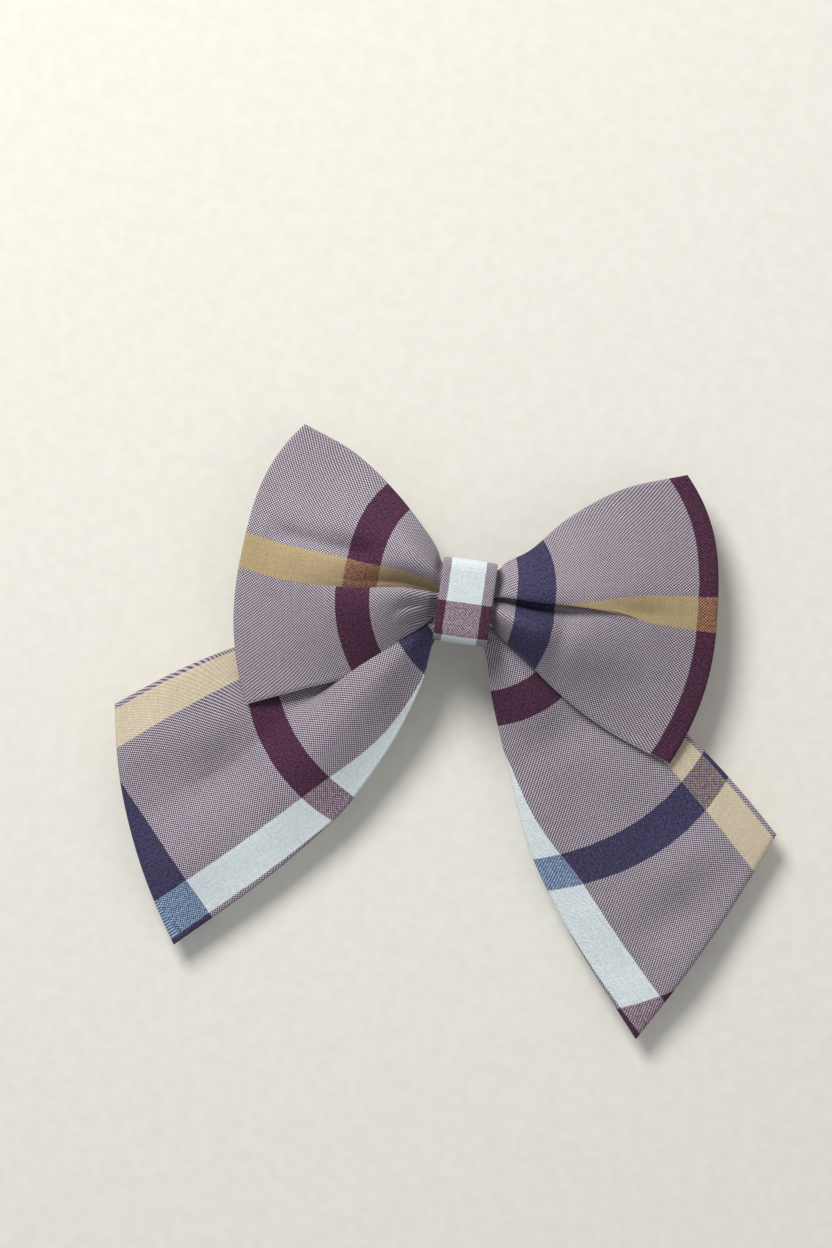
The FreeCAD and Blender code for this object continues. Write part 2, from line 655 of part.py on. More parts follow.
def flange_outline(inner):
    """Toothed side wall under the sloping part of the jaw."""
    slope = (inner[1][1] - inner[0][1]) / (inner[1][0] - inner[0][0])
    start_x = inner[0][0] + 0.4
    step = (FLANGE_TO_X - start_x) / TOOTH_COUNT
    corners = [(start_x, inner[0][1] + slope * 0.4 + 0.2)]
    for i in range(TOOTH_COUNT):
        left_x = start_x + step * i
        under = inner[0][1] + slope * (left_x - inner[0][0])
        depth = min(TOOTH_DEPTH, max(0.0, under - TOOTH_GAP))
        corners.append((left_x + 0.1, under - depth))
        corners.append((left_x + step / 2, under - depth * 0.35 + slope * step / 2))
    corners.append((FLANGE_TO_X, inner[0][1] + slope * (FLANGE_TO_X - inner[0][0]) - 0.3))
    corners.append((FLANGE_TO_X + 2, inner[0][1] + slope * (FLANGE_TO_X + 2 - inner[0][0]) + 0.2))
    return corners


def clip_jaw():
    inner, outer = jaw_side()
    strip = prism_xy(inner + list(reversed(outer)), -JAW_WIDTH / 2, JAW_WIDTH / 2)
    plan = arm_outline(JAW_TIP[0] - 0.3, LEVER_END[0] + 0.6, JAW_WIDTH + 0.8, JAW_TIP_WIDTH)
    plan.translate(Vector(0, -1, 0))
    strip = strip.common(Part.Face(plan).extrude(Vector(0, 16, 0)))
    for side in (-1, 1):
        strip = strip.fuse(ear(JAW_EAR_OUTER, EAR_THICK, JAW_BASE_Y + JAW_THICK / 2, side, JAW_HOLE_RADIUS))
        wall_outer = JAW_TIP_WIDTH / 2
        z_low = wall_outer - FLANGE_THICK if side > 0 else -wall_outer
        strip = strip.fuse(prism_xy(flange_outline(inner), z_low, z_low + FLANGE_THICK))
    return strip.removeSplitter()


PARTS = {
    "bow_front_panel": bow_front_panel,
    "bow_back_panel": bow_back_panel,
    "bow_interfacing": bow_interfacing,
    "bow_seam_thread": bow_seam_thread,
    "bow_waist_thread": bow_waist_thread,
    "tail_waist": tail_waist,
    "tail_waist_thread": tail_waist_thread,
    "joining_thread": joining_thread,
    "centre_band": centre_band,
    "centre_band_lining": centre_band_lining,
    "band_stitches": band_stitches,
    "glue_pad": glue_pad,
    "clip_upper_arm": clip_upper_arm,
    "clip_ribbon_lining": clip_ribbon_lining,
    "clip_hinge_pin": clip_hinge_pin,
    "clip_spring": clip_spring,
    "clip_jaw": clip_jaw,
}
for side_name, is_left in (("left", True), ("right", False)):
    tail = side_name + "_tail_"
    PARTS[tail + "front_panel"] = lambda left=is_left: tail_sheet(left, 1, CLOTH_HALF, 0.0, 1.0)
    PARTS[tail + "back_panel"] = lambda left=is_left: tail_sheet(left, -1, CLOTH_HALF, 0.0, 1.0)
    PARTS[tail + "interfacing"] = lambda left=is_left: tail_sheet(
        left, 0, STIFFENER_HALF, TAIL_STIFFENER_FROM, TAIL_STIFFENER_REACH)
    PARTS[tail + "seam_thread"] = lambda left=is_left: tail_seam_thread(left)

os.makedirs("parts", exist_ok=True)
for name, make in PARTS.items():
    make().exportStep("parts/" + name + ".step")
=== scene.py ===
import math

import bmesh
import bpy
import numpy as np
from mathutils import Matrix, Vector


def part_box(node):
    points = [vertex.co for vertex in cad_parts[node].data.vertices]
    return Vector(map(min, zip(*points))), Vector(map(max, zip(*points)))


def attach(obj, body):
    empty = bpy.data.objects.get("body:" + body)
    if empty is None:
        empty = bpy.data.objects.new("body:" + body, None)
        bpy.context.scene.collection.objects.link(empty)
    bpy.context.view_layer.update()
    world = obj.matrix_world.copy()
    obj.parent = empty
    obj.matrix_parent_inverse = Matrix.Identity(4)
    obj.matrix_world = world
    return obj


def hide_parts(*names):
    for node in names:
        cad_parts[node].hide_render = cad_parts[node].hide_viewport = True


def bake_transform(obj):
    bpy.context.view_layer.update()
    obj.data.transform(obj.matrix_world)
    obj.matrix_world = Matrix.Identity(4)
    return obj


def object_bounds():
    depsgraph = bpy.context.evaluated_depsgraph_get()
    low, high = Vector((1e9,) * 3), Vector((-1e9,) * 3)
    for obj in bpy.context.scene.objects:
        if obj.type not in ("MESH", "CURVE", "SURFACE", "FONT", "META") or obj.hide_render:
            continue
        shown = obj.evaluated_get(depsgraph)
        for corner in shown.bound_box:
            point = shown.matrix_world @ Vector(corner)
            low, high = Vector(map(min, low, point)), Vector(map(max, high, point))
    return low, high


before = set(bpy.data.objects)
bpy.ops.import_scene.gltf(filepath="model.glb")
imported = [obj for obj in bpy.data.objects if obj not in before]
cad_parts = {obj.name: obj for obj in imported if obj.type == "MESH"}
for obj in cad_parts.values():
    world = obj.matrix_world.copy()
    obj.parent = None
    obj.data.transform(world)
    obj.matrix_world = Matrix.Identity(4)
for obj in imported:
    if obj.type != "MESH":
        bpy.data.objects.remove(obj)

CAD_LOW, CAD_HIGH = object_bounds()
MM = 0.001

# ---- setting, in metres ----
CAMERA_AT = (-0.0111, -0.0075)
CAMERA_DISTANCE = 0.90
CAMERA_LENS = 105.4
BOW_LEAN = 8.0               # degrees, clockwise in the picture
LIGHTS_AIM = (0, 0, -0.02)
FLOOR_GAP = 0.4              # millimetres behind whatever stands furthest back
FLOOR_HALF = 900.0           # millimetres
SWINGS_BACK = (              # moving bodies, and the CAD node of each that reaches furthest
    ("left_tail", "left_tail_back_panel"),
    ("right_tail", "right_tail_back_panel"),
    ("clip_jaw_body", "clip_jaw"),
)

# ---- cloth and plaid, in millimetres ----
CLOTH_THICK = 0.5
SHEET_GAP = 0.04             # left between the two sheets where they meet at a seam
STIFFENER_IN = 0.95          # from the outside of the back cloth to the middle of the stiffener
STIFFENER_HALF = 0.15        # half its thickness
LEAST_SPACING = 2.4          # the front and back cloth never come closer than this inside the seams
VALLEY_REACH = 3.0           # a point lies in a fold if the cloth this far off on both sides is in front
VALLEY_DEEP = 2.6            # the depth of a fold that is fully in shade
STITCH_LENGTH = 1.6
STITCH_DIP = 0.09
SEAM_THREAD_RADIUS = 0.1
THREAD_PITCH = 0.37          # one thread of the weave
PLAID_REPEAT = 90.0
PLUM_HALF = 4.5
NAVY_HALF = 4.7
GOLD_HALF = 4.2
ICE_HALF = 4.8
CLOTH_HALF_HEIGHT = 36.0     # of the wing cloth, top to middle
EDGE_CLOTH = {"left": 57.0, "right": 63.7}     # cloth length from the knot to each outer edge
GOLD_LOW = 0.3               # cloth height of the lower border of the gold stripe on the wings
WING_PLUM_AT = -26.5         # cloth length of the middle of the plum stripe on the wings

# ---- wings: stations from the knot (0) to the outer edge (1) ----
WING_AT = (0.0, 0.115, 0.16, 0.28, 0.50, 0.75, 1.0)
TOP_X = {
    "left": (0.0, -6.75, -8.3, -12.6, -20.8, -32.6, -45.1),
    "right": (0.0, 6.75, 8.4, 13.6, 22.0, 35.1, 50.1),
}
TOP_Z = {"left": (6.2, 8.2, 11.2, 16.2, 24.2, 32.6, 37.6), "right": (6.2, 8.2, 10.3, 13.9, 23.2, 32.7, 38.3)}
LOW_X = {
    "left": (0.0, -6.75, -8.6, -14.6, -23.2, -36.2, -49.9),
    "right": (0.0, 6.75, 8.4, 15.4, 25.2, 38.8, 55.6),
}
LOW_Z = {
    "left": (-1.5, -4.8, -7.0, -12.2, -21.4, -27.1, -33.0),
    "right": (-1.5, -4.8, -6.6, -11.6, -19.0, -26.7, -33.1),
}
BULGE = {"left": (0.0, 0.2, 0.6, 2.6, 5.8, 7.8, 8.8), "right": (0.0, 0.1, 0.3, 2.2, 6.2, 8.2, 9.5)}
BULGE_POWER = {"upper": 3.2, "lower": 2.1}
WING_EDGE_Y = (-7.4, -7.2, -7.0, -6.4, -3.5, -0.5, 1.5)
UPPER_LOBE = (1.6, 2.8, 4.6, 6.6, 6.2, 3.8, 1.9)
LOWER_LOBE = (1.8, 3.2, 5.0, 7.2, 6.8, 4.2, 1.9)
WING_SPACING = (3.6, 3.6, 3.8, 4.2, 5.0, 4.2, 2.6)
RIM_THICK = 1.3
FOLD_AT = {
    "left": (-0.10, -0.12, -0.10, -0.04, -0.06, -0.12, -0.057),
    "right": (-0.09, -0.08, -0.05, 0.0, -0.04, -0.09, -0.06),
}
OVERHANG = {"left": (0.0, 0.6, 1.0, 1.9, 2.2, 0.6, 0.0), "right": (0.0, 0.6, 1.2, 2.6, 2.4, 0.6, 0.0)}
HIDDEN_TO = {"left": (0.3, 0.3, 0.3, 0.3, 0.3, 0.3, 0.3), "right": (9.2, 9.2, 9.2, 8.6, 5.4, 1.0, 0.3)}
OPENS = {"left": (0.28, 0.55), "right": (0.22, 0.55)}      # where the fold starts to open, how far it goes on
RIM_PLACES = (1.0, 0.994, 0.98)      # closer places at the rim of a column, as shares of its half
FOLD_HALF = 0.04             # half the share of the column that the fold wall takes
COLUMN_STEPS = 34            # places below the fold wall, and above it
WALL_STEPS = 13              # places on the fold wall
WING_FOLD_COLUMN = len(RIM_PLACES) + COLUMN_STEPS - 1 + WALL_STEPS // 2
PLEAT_HEIGHT = 0.28
WING_DENTS = (               # x, z, reach along x, reach along z, depth
    (-30.0, 9.0, 9.0, 2.6, 2.4),
    (-46.0, 10.2, 8.0, 2.6, 1.8),
    (-12.0, -5.2, 4.0, 2.6, 2.8),
    (-42.0, -17.0, 9.0, 7.0, -0.6),
    (-33.0, 22.0, 8.0, 6.0, -0.5),
    (24.5, -6.0, 2.6, 5.5, 1.7),
    (44.0, 3.6, 9.0, 2.4, 1.2),
    (18.5, -6.5, 2.4, 4.0, -0.5),
    (37.0, -9.0, 9.0, 5.0, -0.7),
    (33.0, 11.0, 9.0, 4.0, 0.8),
    (46.0, 21.0, 8.0, 8.0, -0.5),
)

# ---- tails: distances from the middle of the knot ----
TAIL_ANGLE = {"left": 48.0, "right": 44.0}
TAIL_LENGTHS = {"left": (86.2, 107.5), "right": (92.4, 113.0)}
TAIL_END_BOW = {"left": 3.0, "right": 0.8}
TAIL_OUTER_WIDTH = {"left": 28.5, "right": 29.0}
TAIL_OUTER_FAN = {"left": 42.0, "right": 38.0}
FAN_START = 10.4
OUTER_ROOT = 3.2
TAIL_INNER_AT = {"left": (8, 12.4, 20, 38, 58, 85, 115), "right": (8, 11.4, 23.3, 39, 61.4, 85.3, 115)}
TAIL_INNER = {
    "left": (2.4, 4.4, 11.0, 20.8, 27.2, 30.0, 30.6),
    "right": (2.2, 2.9, 8.8, 15.4, 23.9, 27.8, 29.8),
}
TAIL_SEEN_AT = {"left": (11, 16, 38, 57, 75, 115), "right": (11, 23, 38, 52.7, 61.4, 75, 99, 115)}
TAIL_SEEN = {
    "left": (15.5, 18.7, 23.2, 28.3, 29.4, 30.0),
    "right": (13.0, 15.5, 19.2, 22.4, 24.8, 28.0, 29.0, 30.0),
}
TAIL_START = 11.2
FOLD_LINE = -1.0
TAIL_ROOT_Y = -6.1
TAIL_DROP = 11.5
TAIL_DROP_FROM = 7.0
TAIL_DROP_OVER = 22.0
ROLL_AT = (11.0, 15.0, 20.0, 30.0, 45.0, 60.0, 80.0, 115.0)
ROLL_FROM = {"left": 0.0, "right": -0.6}     # share of the half width where the raised roll starts
ROLL_HEIGHT = {
    "left": (1.4, 3.2, 5.0, 6.6, 5.8, 3.4, 1.6, 0.7),
    "right": (1.2, 2.6, 4.4, 5.2, 3.4, 2.0, 1.2, 0.7),
}
ROLL_STEEP = {
    "left": (0.5, 0.5, 0.5, 0.55, 0.7, 0.9, 1.0, 1.0),
    "right": (0.9, 0.9, 0.9, 0.9, 1.0, 1.0, 1.0, 1.0),
}
ROLL_OVERHANG = {
    "left": (0.2, 1.0, 1.8, 2.2, 0.8, 0.0, 0.0, 0.0),
    "right": (0.0, 0.0, 0.0, 0.0, 0.0, 0.0, 0.0, 0.0),
}
TAIL_SPACING = (2.4, 2.6, 2.8, 3.0, 3.0, 2.8, 2.6, 2.4)
TAIL_PLUM_AT = {"left": 57.5, "right": 28.9}
TAIL_STRETCH = {"left": 1.055, "right": 1.0}
TAIL_BEND_AT = (0.0, 30.0, 57.0, 72.0, 95.0, 115.0)
TAIL_BEND = {"left": (0.10, 0.10, 0.15, 0.08, 0.0, 0.0), "right": (0.09, 0.09, 0.09, 0.09, 0.06, 0.04)}
TAIL_BEND_MIDDLE = {"left": 0.3, "right": -0.15}
TAIL_GOLD_OFFSET = 21.6      # from the tail's middle line to the middle of its gold stripe
TAIL_OUTER_CLOTH_AT = (0.0, 24.0, 46.0, 120.0)
TAIL_OUTER_CLOTH = (12.0, 12.0, 27.0, 27.0)      # cloth from the fold line to the outer edge
TAIL_ACROSS_STEPS = 61       # places across a tail between its rims
TAIL_FOLD_COLUMN = len(RIM_PLACES) + TAIL_ACROSS_STEPS // 2
TAIL_LEAD_ROWS = 7           # rows of cloth that lead into the band
TAIL_DENTS = {               # distance along, distance across, reach along, reach across, depth
    "left": (
        (74.0, 1.0, 9.0, 6.5, 2.6),
        (64.0, -9.0, 9.0, 6.0, -0.9),
        (90.0, 16.0, 9.0, 8.0, -1.0),
        (88.0, -14.0, 10.0, 6.0, -1.0),
        (46.0, -6.0, 8.0, 4.0, 1.4),
    ),
    "right": (
        (40.0, 2.0, 6.0, 9.0, 1.8),
        (58.0, -6.0, 10.0, 7.0, -1.2),
        (84.0, -6.0, 6.0, 14.0, -1.4),
        (94.0, 4.0, 6.0, 12.0, 1.4),
        (104.0, 12.0, 6.0, 8.0, -0.6),
    ),
}

# ---- band and waist ----
BAND_WIDTH = 13.3
BAND_PLUM_Z = -4.9           # height of the middle of the plum stripe on the front of the band
BAND_CORNER = 3.0            # radius of the corners of its loop
BAND_EDGE = 0.5              # the strip's side edges are rounded over this distance
BAND_STEPS = 104             # places round the loop
BAND_CLOTH = (0.6, 0.15)     # thickness, and how far the middle of the strip puffs out
BAND_LINING = (0.35, 0.0)
LINING_INSIDE = 0.68         # the lining's loop is this much smaller all round
WAIST_HALF_LENGTH = 6.0
WAIST_RADII = (1.9, 1.7)     # front to back, and up
WAIST_PLEATS = 7

# ---- clip ----
SPRING_RADIUS = 1.75
SPRING_HALF_WIDTH = 1.7
SPRING_TURNS = 3.5
SPRING_WIRE = 0.4
SPRING_LEG = 8.0
SPRING_LEG_SLOPE = 27.3      # degrees, the slant of the jaw's lever at rest
RIBBON_THICK = 0.4
RIB_PITCH = 0.5
RIB_HEIGHT = 0.05
RIBBON_STEP = 0.12
WARP_PITCH = 0.22            # one lengthwise thread of the ribbon

# ---- cloth simulation ----
SIM_SCALE = 10.0             # the bags are simulated ten times larger than they are
SIM_FRAMES = 20
SIM_CLOTH = {
    "quality": 5,
    "mass": 0.3,
    "tension_stiffness": 15.0,
    "compression_stiffness": 15.0,
    "shear_stiffness": 5.0,
    "bending_stiffness": 0.5,
    "use_pressure": True,
    "uniform_pressure_force": 4.0,
    "shrink_min": -0.025,
    "shrink_max": -0.025,
}
WING_SWELL_LIMIT = 1.5
TAIL_SWELL_LIMIT = 1.3


# ======== numbers and curves ========
def along(places, values, at):
    """A smooth curve through the stations, without overshoot."""
    p = np.asarray(places, float)
    v = np.asarray(values, float)
    at = np.clip(np.asarray(at, float), p[0], p[-1])
    rise = np.diff(v) / np.diff(p)
    slope = np.empty_like(v)
    slope[0], slope[-1] = rise[0], rise[-1]
    product = rise[:-1] * rise[1:]
    total = np.where(product > 0, rise[:-1] + rise[1:], 1.0)
    slope[1:-1] = np.where(product > 0, 2 * product / total, 0.0)
    i = np.clip(np.searchsorted(p, at, side="right") - 1, 0, len(p) - 2)
    width = p[i + 1] - p[i]
    t = (at - p[i]) / width
    start = v[i] * (2 * t ** 3 - 3 * t ** 2 + 1) + slope[i] * width * (t ** 3 - 2 * t ** 2 + t)
    end = v[i + 1] * (3 * t ** 2 - 2 * t ** 3) + slope[i + 1] * width * (t ** 3 - t ** 2)
    return start + end


def ease(t):
    t = np.clip(t, 0.0, 1.0)
    return t * t * (3 - 2 * t)


def unit(vectors):
    """A vector, or each row of vectors, brought to length one."""
    return vectors / np.maximum(np.linalg.norm(vectors, axis=-1, keepdims=True), 1e-9)


# ======== meshes ========
def new_object(name, data):
    made = bpy.data.objects.new(name, data)
    bpy.context.scene.collection.objects.link(made)
    return made


def grid_normals(points):
    """Unit normals of a grid of points, rows by columns by 3."""
    return unit(np.cross(np.gradient(points, axis=0), np.gradient(points, axis=1)))


def new_piece(name, vertices, faces, uvs=None, material=None, smooth=True):
    """A mesh object from arrays in millimetres.

    Each row of uvs holds the place in the plaid. It may go on with the place
    in the weave and the shade painted into a fold.
    """
    mesh = bpy.data.meshes.new(name)
    mesh.from_pydata((np.asarray(vertices, float) * MM).tolist(), [], faces)
    if uvs is not None:
        values = np.asarray(uvs, np.float32)
        if values.shape[1] == 2:
            values = np.concatenate([values, values, np.zeros((len(values), 1), np.float32)], axis=1)
        loops = np.empty(len(mesh.loops), np.int32)
        mesh.loops.foreach_get("vertex_index", loops)
        for layer_name, first in (("cloth", 0), ("threads", 2)):
            layer = mesh.uv_layers.new(name=layer_name)
            layer.data.foreach_set("uv", values[loops, first:first + 2].ravel())
        # the fifth column is the shade painted into the folds
        mesh.attributes.new("painted_fold_shade", "FLOAT", "POINT").data.foreach_set("value", values[:, 4])
    mesh.polygons.foreach_set("use_smooth", [smooth] * len(mesh.polygons))
    mesh.update()
    if material is not None:
        mesh.materials.append(material)
    return new_object(name, mesh)


def thick_sheet(outer, inner, uv):
    """Vertices, faces and uvs of a closed sheet between two grids of the same shape."""
    rows, columns = outer.shape[:2]
    index = np.arange(rows * columns).reshape(rows, columns)
    quads = np.stack([index[:-1, :-1], index[1:, :-1], index[1:, 1:], index[:-1, 1:]], axis=-1).reshape(-1, 4)
    back = quads[:, ::-1] + rows * columns
    rim = np.concatenate([index[:, 0], index[-1, 1:], index[-2::-1, -1], index[0, -2:0:-1]])
    after = np.roll(rim, -1)
    sides = np.stack([after, rim, rim + rows * columns, after + rows * columns], axis=-1)
    faces = np.concatenate([quads, back, sides]).tolist()
    vertices = np.concatenate([outer.reshape(-1, 3), inner.reshape(-1, 3)])
    uvs = np.concatenate([uv.reshape(-1, uv.shape[-1])] * 2)
    return vertices, faces, uvs


def finish_mesh(piece, subdivisions=1):
    """Applies the subdivisions and turns the faces outward."""
    bpy.context.view_layer.objects.active = piece
    for other in bpy.context.selected_objects:
        other.select_set(False)
    piece.select_set(True)
    if subdivisions:
        smoother = piece.modifiers.new("smoother", "SUBSURF")
        smoother.levels = subdivisions
        smoother.render_levels = subdivisions
        smoother.uv_smooth = "PRESERVE_BOUNDARIES"
        bpy.ops.object.modifier_apply(modifier=smoother.name)
    work = bmesh.new()
    work.from_mesh(piece.data)
    bmesh.ops.recalc_face_normals(work, faces=work.faces)
    work.to_mesh(piece.data)
    work.free()
    return piece


def stand_in(piece, node):
    """The piece rides on the bow and takes the place of a CAD node, which is hidden."""
    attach(piece, "bow")
    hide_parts(node)


def run_length(path):
    """Distance along a path to each of its points."""
    return np.concatenate([[0], np.cumsum(np.linalg.norm(np.diff(path, axis=0), axis=1))])


def ring_faces(rows, sides):
    """Faces of a tube made of rows of rings, closed at both ends."""
    index = np.arange(rows * sides).reshape(rows, sides)
    turned = np.roll(index, -1, axis=1)
    quads = np.stack([index[:-1], turned[:-1], turned[1:], index[1:]], axis=-1).reshape(-1, 4)
    return quads.tolist() + [index[0, ::-1].tolist(), index[-1].tolist()]


def tube(name, path, radius, material, sides):
    """A round thread or wire along a path given in millimetres."""
    path = np.asarray(path, float)
    ahead = unit(np.gradient(path, axis=0))
    side = np.cross(ahead[0], (0.31, 0.83, 0.46))
    rings = []
    for point, direction in zip(path, ahead):
        side = unit(side - direction * side.dot(direction))
        other = np.cross(direction, side)
        angles = np.arange(sides) * 2 * math.pi / sides
        circle = np.outer(np.cos(angles), side) + np.outer(np.sin(angles), other)
        rings.append(point + radius * circle)
    return new_piece(name, np.concatenate(rings), ring_faces(len(path), sides), None, material)


# ======== node materials ========
class Nodes:
    """Short calls for building a node tree."""

    def __init__(self, name):
        self.material = bpy.data.materials.new(name)
        self.material.use_nodes = True
        self.tree = self.material.node_tree
        self.tree.nodes.clear()

    def add(self, kind, **settings):
        node = self.tree.nodes.new("ShaderNode" + kind)
        for key, value in settings.items():
            setattr(node, key, value)
        return node

    def join(self, value, socket):
        if hasattr(value, "is_output"):
            self.tree.links.new(value, socket)
        elif isinstance(value, (tuple, list)) and socket.type == "RGBA":
            socket.default_value = tuple(value) + (1.0,) * (4 - len(value))
        else:
            socket.default_value = value

    def calc(self, operation, *values):
        node = self.add("Math", operation=operation)
        for value, socket in zip(values, node.inputs):
            self.join(value, socket)
        return node.outputs[0]

    def plus(self, a, b):
        return self.calc("ADD", a, b)

    def times(self, a, b):
        return self.calc("MULTIPLY", a, b)

    def remap(self, value, low, high, to_low=0.0, to_high=1.0, kind="SMOOTHSTEP"):
        node = self.add("MapRange", interpolation_type=kind)
        for item, socket in zip((value, low, high, to_low, to_high), node.inputs):
            self.join(item, socket)
        return node.outputs[0]

    def ramp(self, value, low, high, to_low, to_high):
        return self.remap(value, low, high, to_low, to_high, "LINEAR")

    def mix(self, factor, a, b, blend="MIX"):
        node = self.add("Mix", data_type="RGBA", blend_type=blend)
        self.join(factor, node.inputs[0])
        self.join(a, node.inputs[6])
        self.join(b, node.inputs[7])
        return node.outputs[2]

    def shaded(self, colour, tone):
        """The colour made lighter or darker by a tone."""
        return self.mix(1.0, colour, self.vector(tone, tone, tone), "MULTIPLY")

    def object_place(self):
        return self.add("TexCoord").outputs["Object"]

    def uv_map(self, name):
        return self.add("UVMap", uv_map=name).outputs[0]

    def split(self, vector):
        node = self.add("SeparateXYZ")
        self.join(vector, node.inputs[0])
        return node.outputs

    def noise(self, vector, scale, detail=2.0, roughness=0.5):
        node = self.add("TexNoise")
        self.join(vector, node.inputs["Vector"])
        for value, key in ((scale, "Scale"), (detail, "Detail"), (roughness, "Roughness")):
            self.join(value, node.inputs[key])
        return node.outputs[0]

    def vector(self, x, y, z=0.0):
        node = self.add("CombineXYZ")
        for value, socket in zip((x, y, z), node.inputs):
            self.join(value, socket)
        return node.outputs[0]

    def bump(self, height, strength, distance):
        node = self.add("Bump")
        for value, key in ((strength, "Strength"), (distance, "Distance"), (height, "Height")):
            self.join(value, node.inputs[key])
        return node.outputs[0]

    def surface(self, **inputs):
        shader = self.add("BsdfPrincipled")
        for key, value in inputs.items():
            self.join(value, shader.inputs[key.replace("_", " ")])
        output = self.add("OutputMaterial")
        self.tree.links.new(shader.outputs[0], output.inputs[0])
        return shader


def srgb(red, green, blue):
    """Screen colour, 0 to 255, to the linear colour that materials use."""
    def one(value):
        value = value / 255
        return value / 12.92 if value <= 0.04045 else ((value + 0.055) / 1.055) ** 2.4
    return one(red), one(green), one(blue)


def plaid_cloth(name, gold_colour):
    """Woven cotton plaid: two sets of threads cross, and each stripe colours one set."""
    n = Nodes(name)
    uv = n.uv_map("cloth")
    weave = n.uv_map("threads")
    u, v, _ = n.split(uv)
    thread_u, thread_v, _ = n.split(weave)
    wobble = n.times(n.calc("SUBTRACT", n.noise(uv, 0.35), 0.5), 0.35)
    u_soft = n.plus(u, wobble)
    v_soft = n.plus(v, wobble)

    def stripe(position, centre, half):
        from_centre = n.calc("SUBTRACT", position, centre)
        repeat = n.calc("WRAP", from_centre, PLAID_REPEAT / 2, -PLAID_REPEAT / 2)
        return n.remap(n.calc("ABSOLUTE", repeat), half + 0.12, half - 0.12)

    plum = stripe(u_soft, 0.0, PLUM_HALF)
    navy = stripe(u_soft, PLAID_REPEAT / 2, NAVY_HALF)
    gold = stripe(v_soft, 0.0, GOLD_HALF)
    ice = stripe(v_soft, PLAID_REPEAT / 2, ICE_HALF)
    across = n.mix(plum, srgb(76, 56, 78), srgb(66, 26, 52))
    across = n.mix(navy, across, srgb(50, 49, 82))
    length = n.mix(gold, srgb(206, 200, 208), gold_colour)
    length = n.mix(ice, length, srgb(222, 233, 236))
    across_top = n.mix(gold, across, n.mix(0.26, gold_colour, (0.10, 0.06, 0.02)))
    across_top = n.mix(ice, across_top, n.mix(0.12, length, (0.08, 0.09, 0.12)))
    length_top = n.mix(n.calc("MAXIMUM", plum, navy), length, n.mix(0.05, across, (1.0, 0.8, 1.0)))
    crossings = (
        (plum, gold, srgb(104, 58, 58), srgb(178, 140, 108)),
        (plum, ice, srgb(88, 52, 80), srgb(192, 180, 190)),
        (navy, gold, srgb(86, 74, 98), srgb(166, 148, 136)),
        (navy, ice, srgb(74, 92, 132), srgb(160, 182, 204)),
    )
    for first, second, dark, light in crossings:
        both = n.times(first, second)
        across_top = n.mix(both, across_top, dark)
        length_top = n.mix(both, length_top, light)

    wave_u = n.calc("SINE", n.times(thread_u, math.pi / THREAD_PITCH))
    wave_v = n.calc("SINE", n.times(thread_v, math.pi / THREAD_PITCH))
    over = n.times(wave_u, wave_v)
    colour = n.mix(n.remap(over, -0.42, 0.22), length_top, across_top)
    crown = n.calc("POWER", n.calc("ABSOLUTE", over), 0.5)
    colour = n.mix(n.remap(crown, 0.0, 0.6, 0.14, 0.0), colour, (0.02, 0.015, 0.02))

    slub_u = n.noise(n.vector(n.times(thread_u, 2.6), n.times(thread_v, 0.12)), 1.0, 3.0)
    slub_v = n.noise(n.vector(n.times(thread_u, 0.12), n.times(thread_v, 2.6)), 1.0, 3.0)
    slub = n.times(n.plus(slub_u, slub_v), 0.5)
    cloud = n.noise(uv, 0.06, 3.0)
    fuzz = n.noise(weave, 1.5, 4.0)
    dark_stripe = n.calc("MAXIMUM", plum, navy)
    mottle = n.times(n.calc("SUBTRACT", fuzz, 0.5), n.remap(dark_stripe, 0.0, 1.0, 0.5, 2.4))
    shade = n.plus(n.ramp(slub, 0.3, 0.7, 0.89, 1.11), n.ramp(cloud, 0.3, 0.7, -0.05, 0.05))
    shade = n.plus(shade, mottle)
    # painted shade: the colour is darkened in the folds, to 0.22 of itself where a fold is deepest
    painted_fold_shade = n.add("Attribute", attribute_name="painted_fold_shade").outputs["Fac"]
    shade = n.times(shade, n.ramp(painted_fold_shade, 0.0, 1.0, 1.0, 0.22))

    height = n.plus(n.plus(crown, n.times(slub, 1.2)), n.times(fuzz, 1.5))
    shader = n.surface(
        Base_Color=n.shaded(colour, shade),
        Roughness=n.ramp(slub, 0.3, 0.7, 0.78, 0.92),
        Normal=n.bump(height, 0.8, 0.00014),
    )
    shader.inputs["Specular IOR Level"].default_value = 0.15
    return n.material


def brushed_metal(name, colour, roughness):
    n = Nodes(name)
    place = n.object_place()
    x, y, z = n.split(place)
    drawn = n.vector(n.times(x, 60.0), n.times(y, 900.0), n.times(z, 2600.0))
    grain = n.noise(drawn, 1.0, 4.0)
    smudge = n.noise(place, 180.0, 3.0)
    smudged = n.ramp(smudge, 0.3, 0.7, roughness - 0.06, roughness + 0.10)
    n.surface(
        Base_Color=n.shaded(colour, n.ramp(grain, 0.3, 0.7, 0.86, 1.05)),
        Metallic=1.0,
        Roughness=n.plus(smudged, n.times(grain, 0.08)),
        Normal=n.bump(grain, 0.12, 0.00005),
    )
    return n.material


def spun_thread(name, colour):
    n = Nodes(name)
    place = n.object_place()
    wave = n.add("TexWave", wave_type="BANDS", bands_direction="DIAGONAL")
    n.join(place, wave.inputs["Vector"])
    wave.inputs["Scale"].default_value = 900.0
    wave.inputs["Distortion"].default_value = 1.5
    fuzz = n.noise(place, 2500.0, 2.0)
    n.surface(
        Base_Color=n.shaded(colour, n.ramp(wave.outputs[1], 0.0, 1.0, 0.72, 1.08)),
        Roughness=n.ramp(fuzz, 0.3, 0.7, 0.6, 0.85),
        Sheen_Weight=0.3,
        Normal=n.bump(n.plus(wave.outputs[1], fuzz), 0.4, 0.00006),
    )
    return n.material


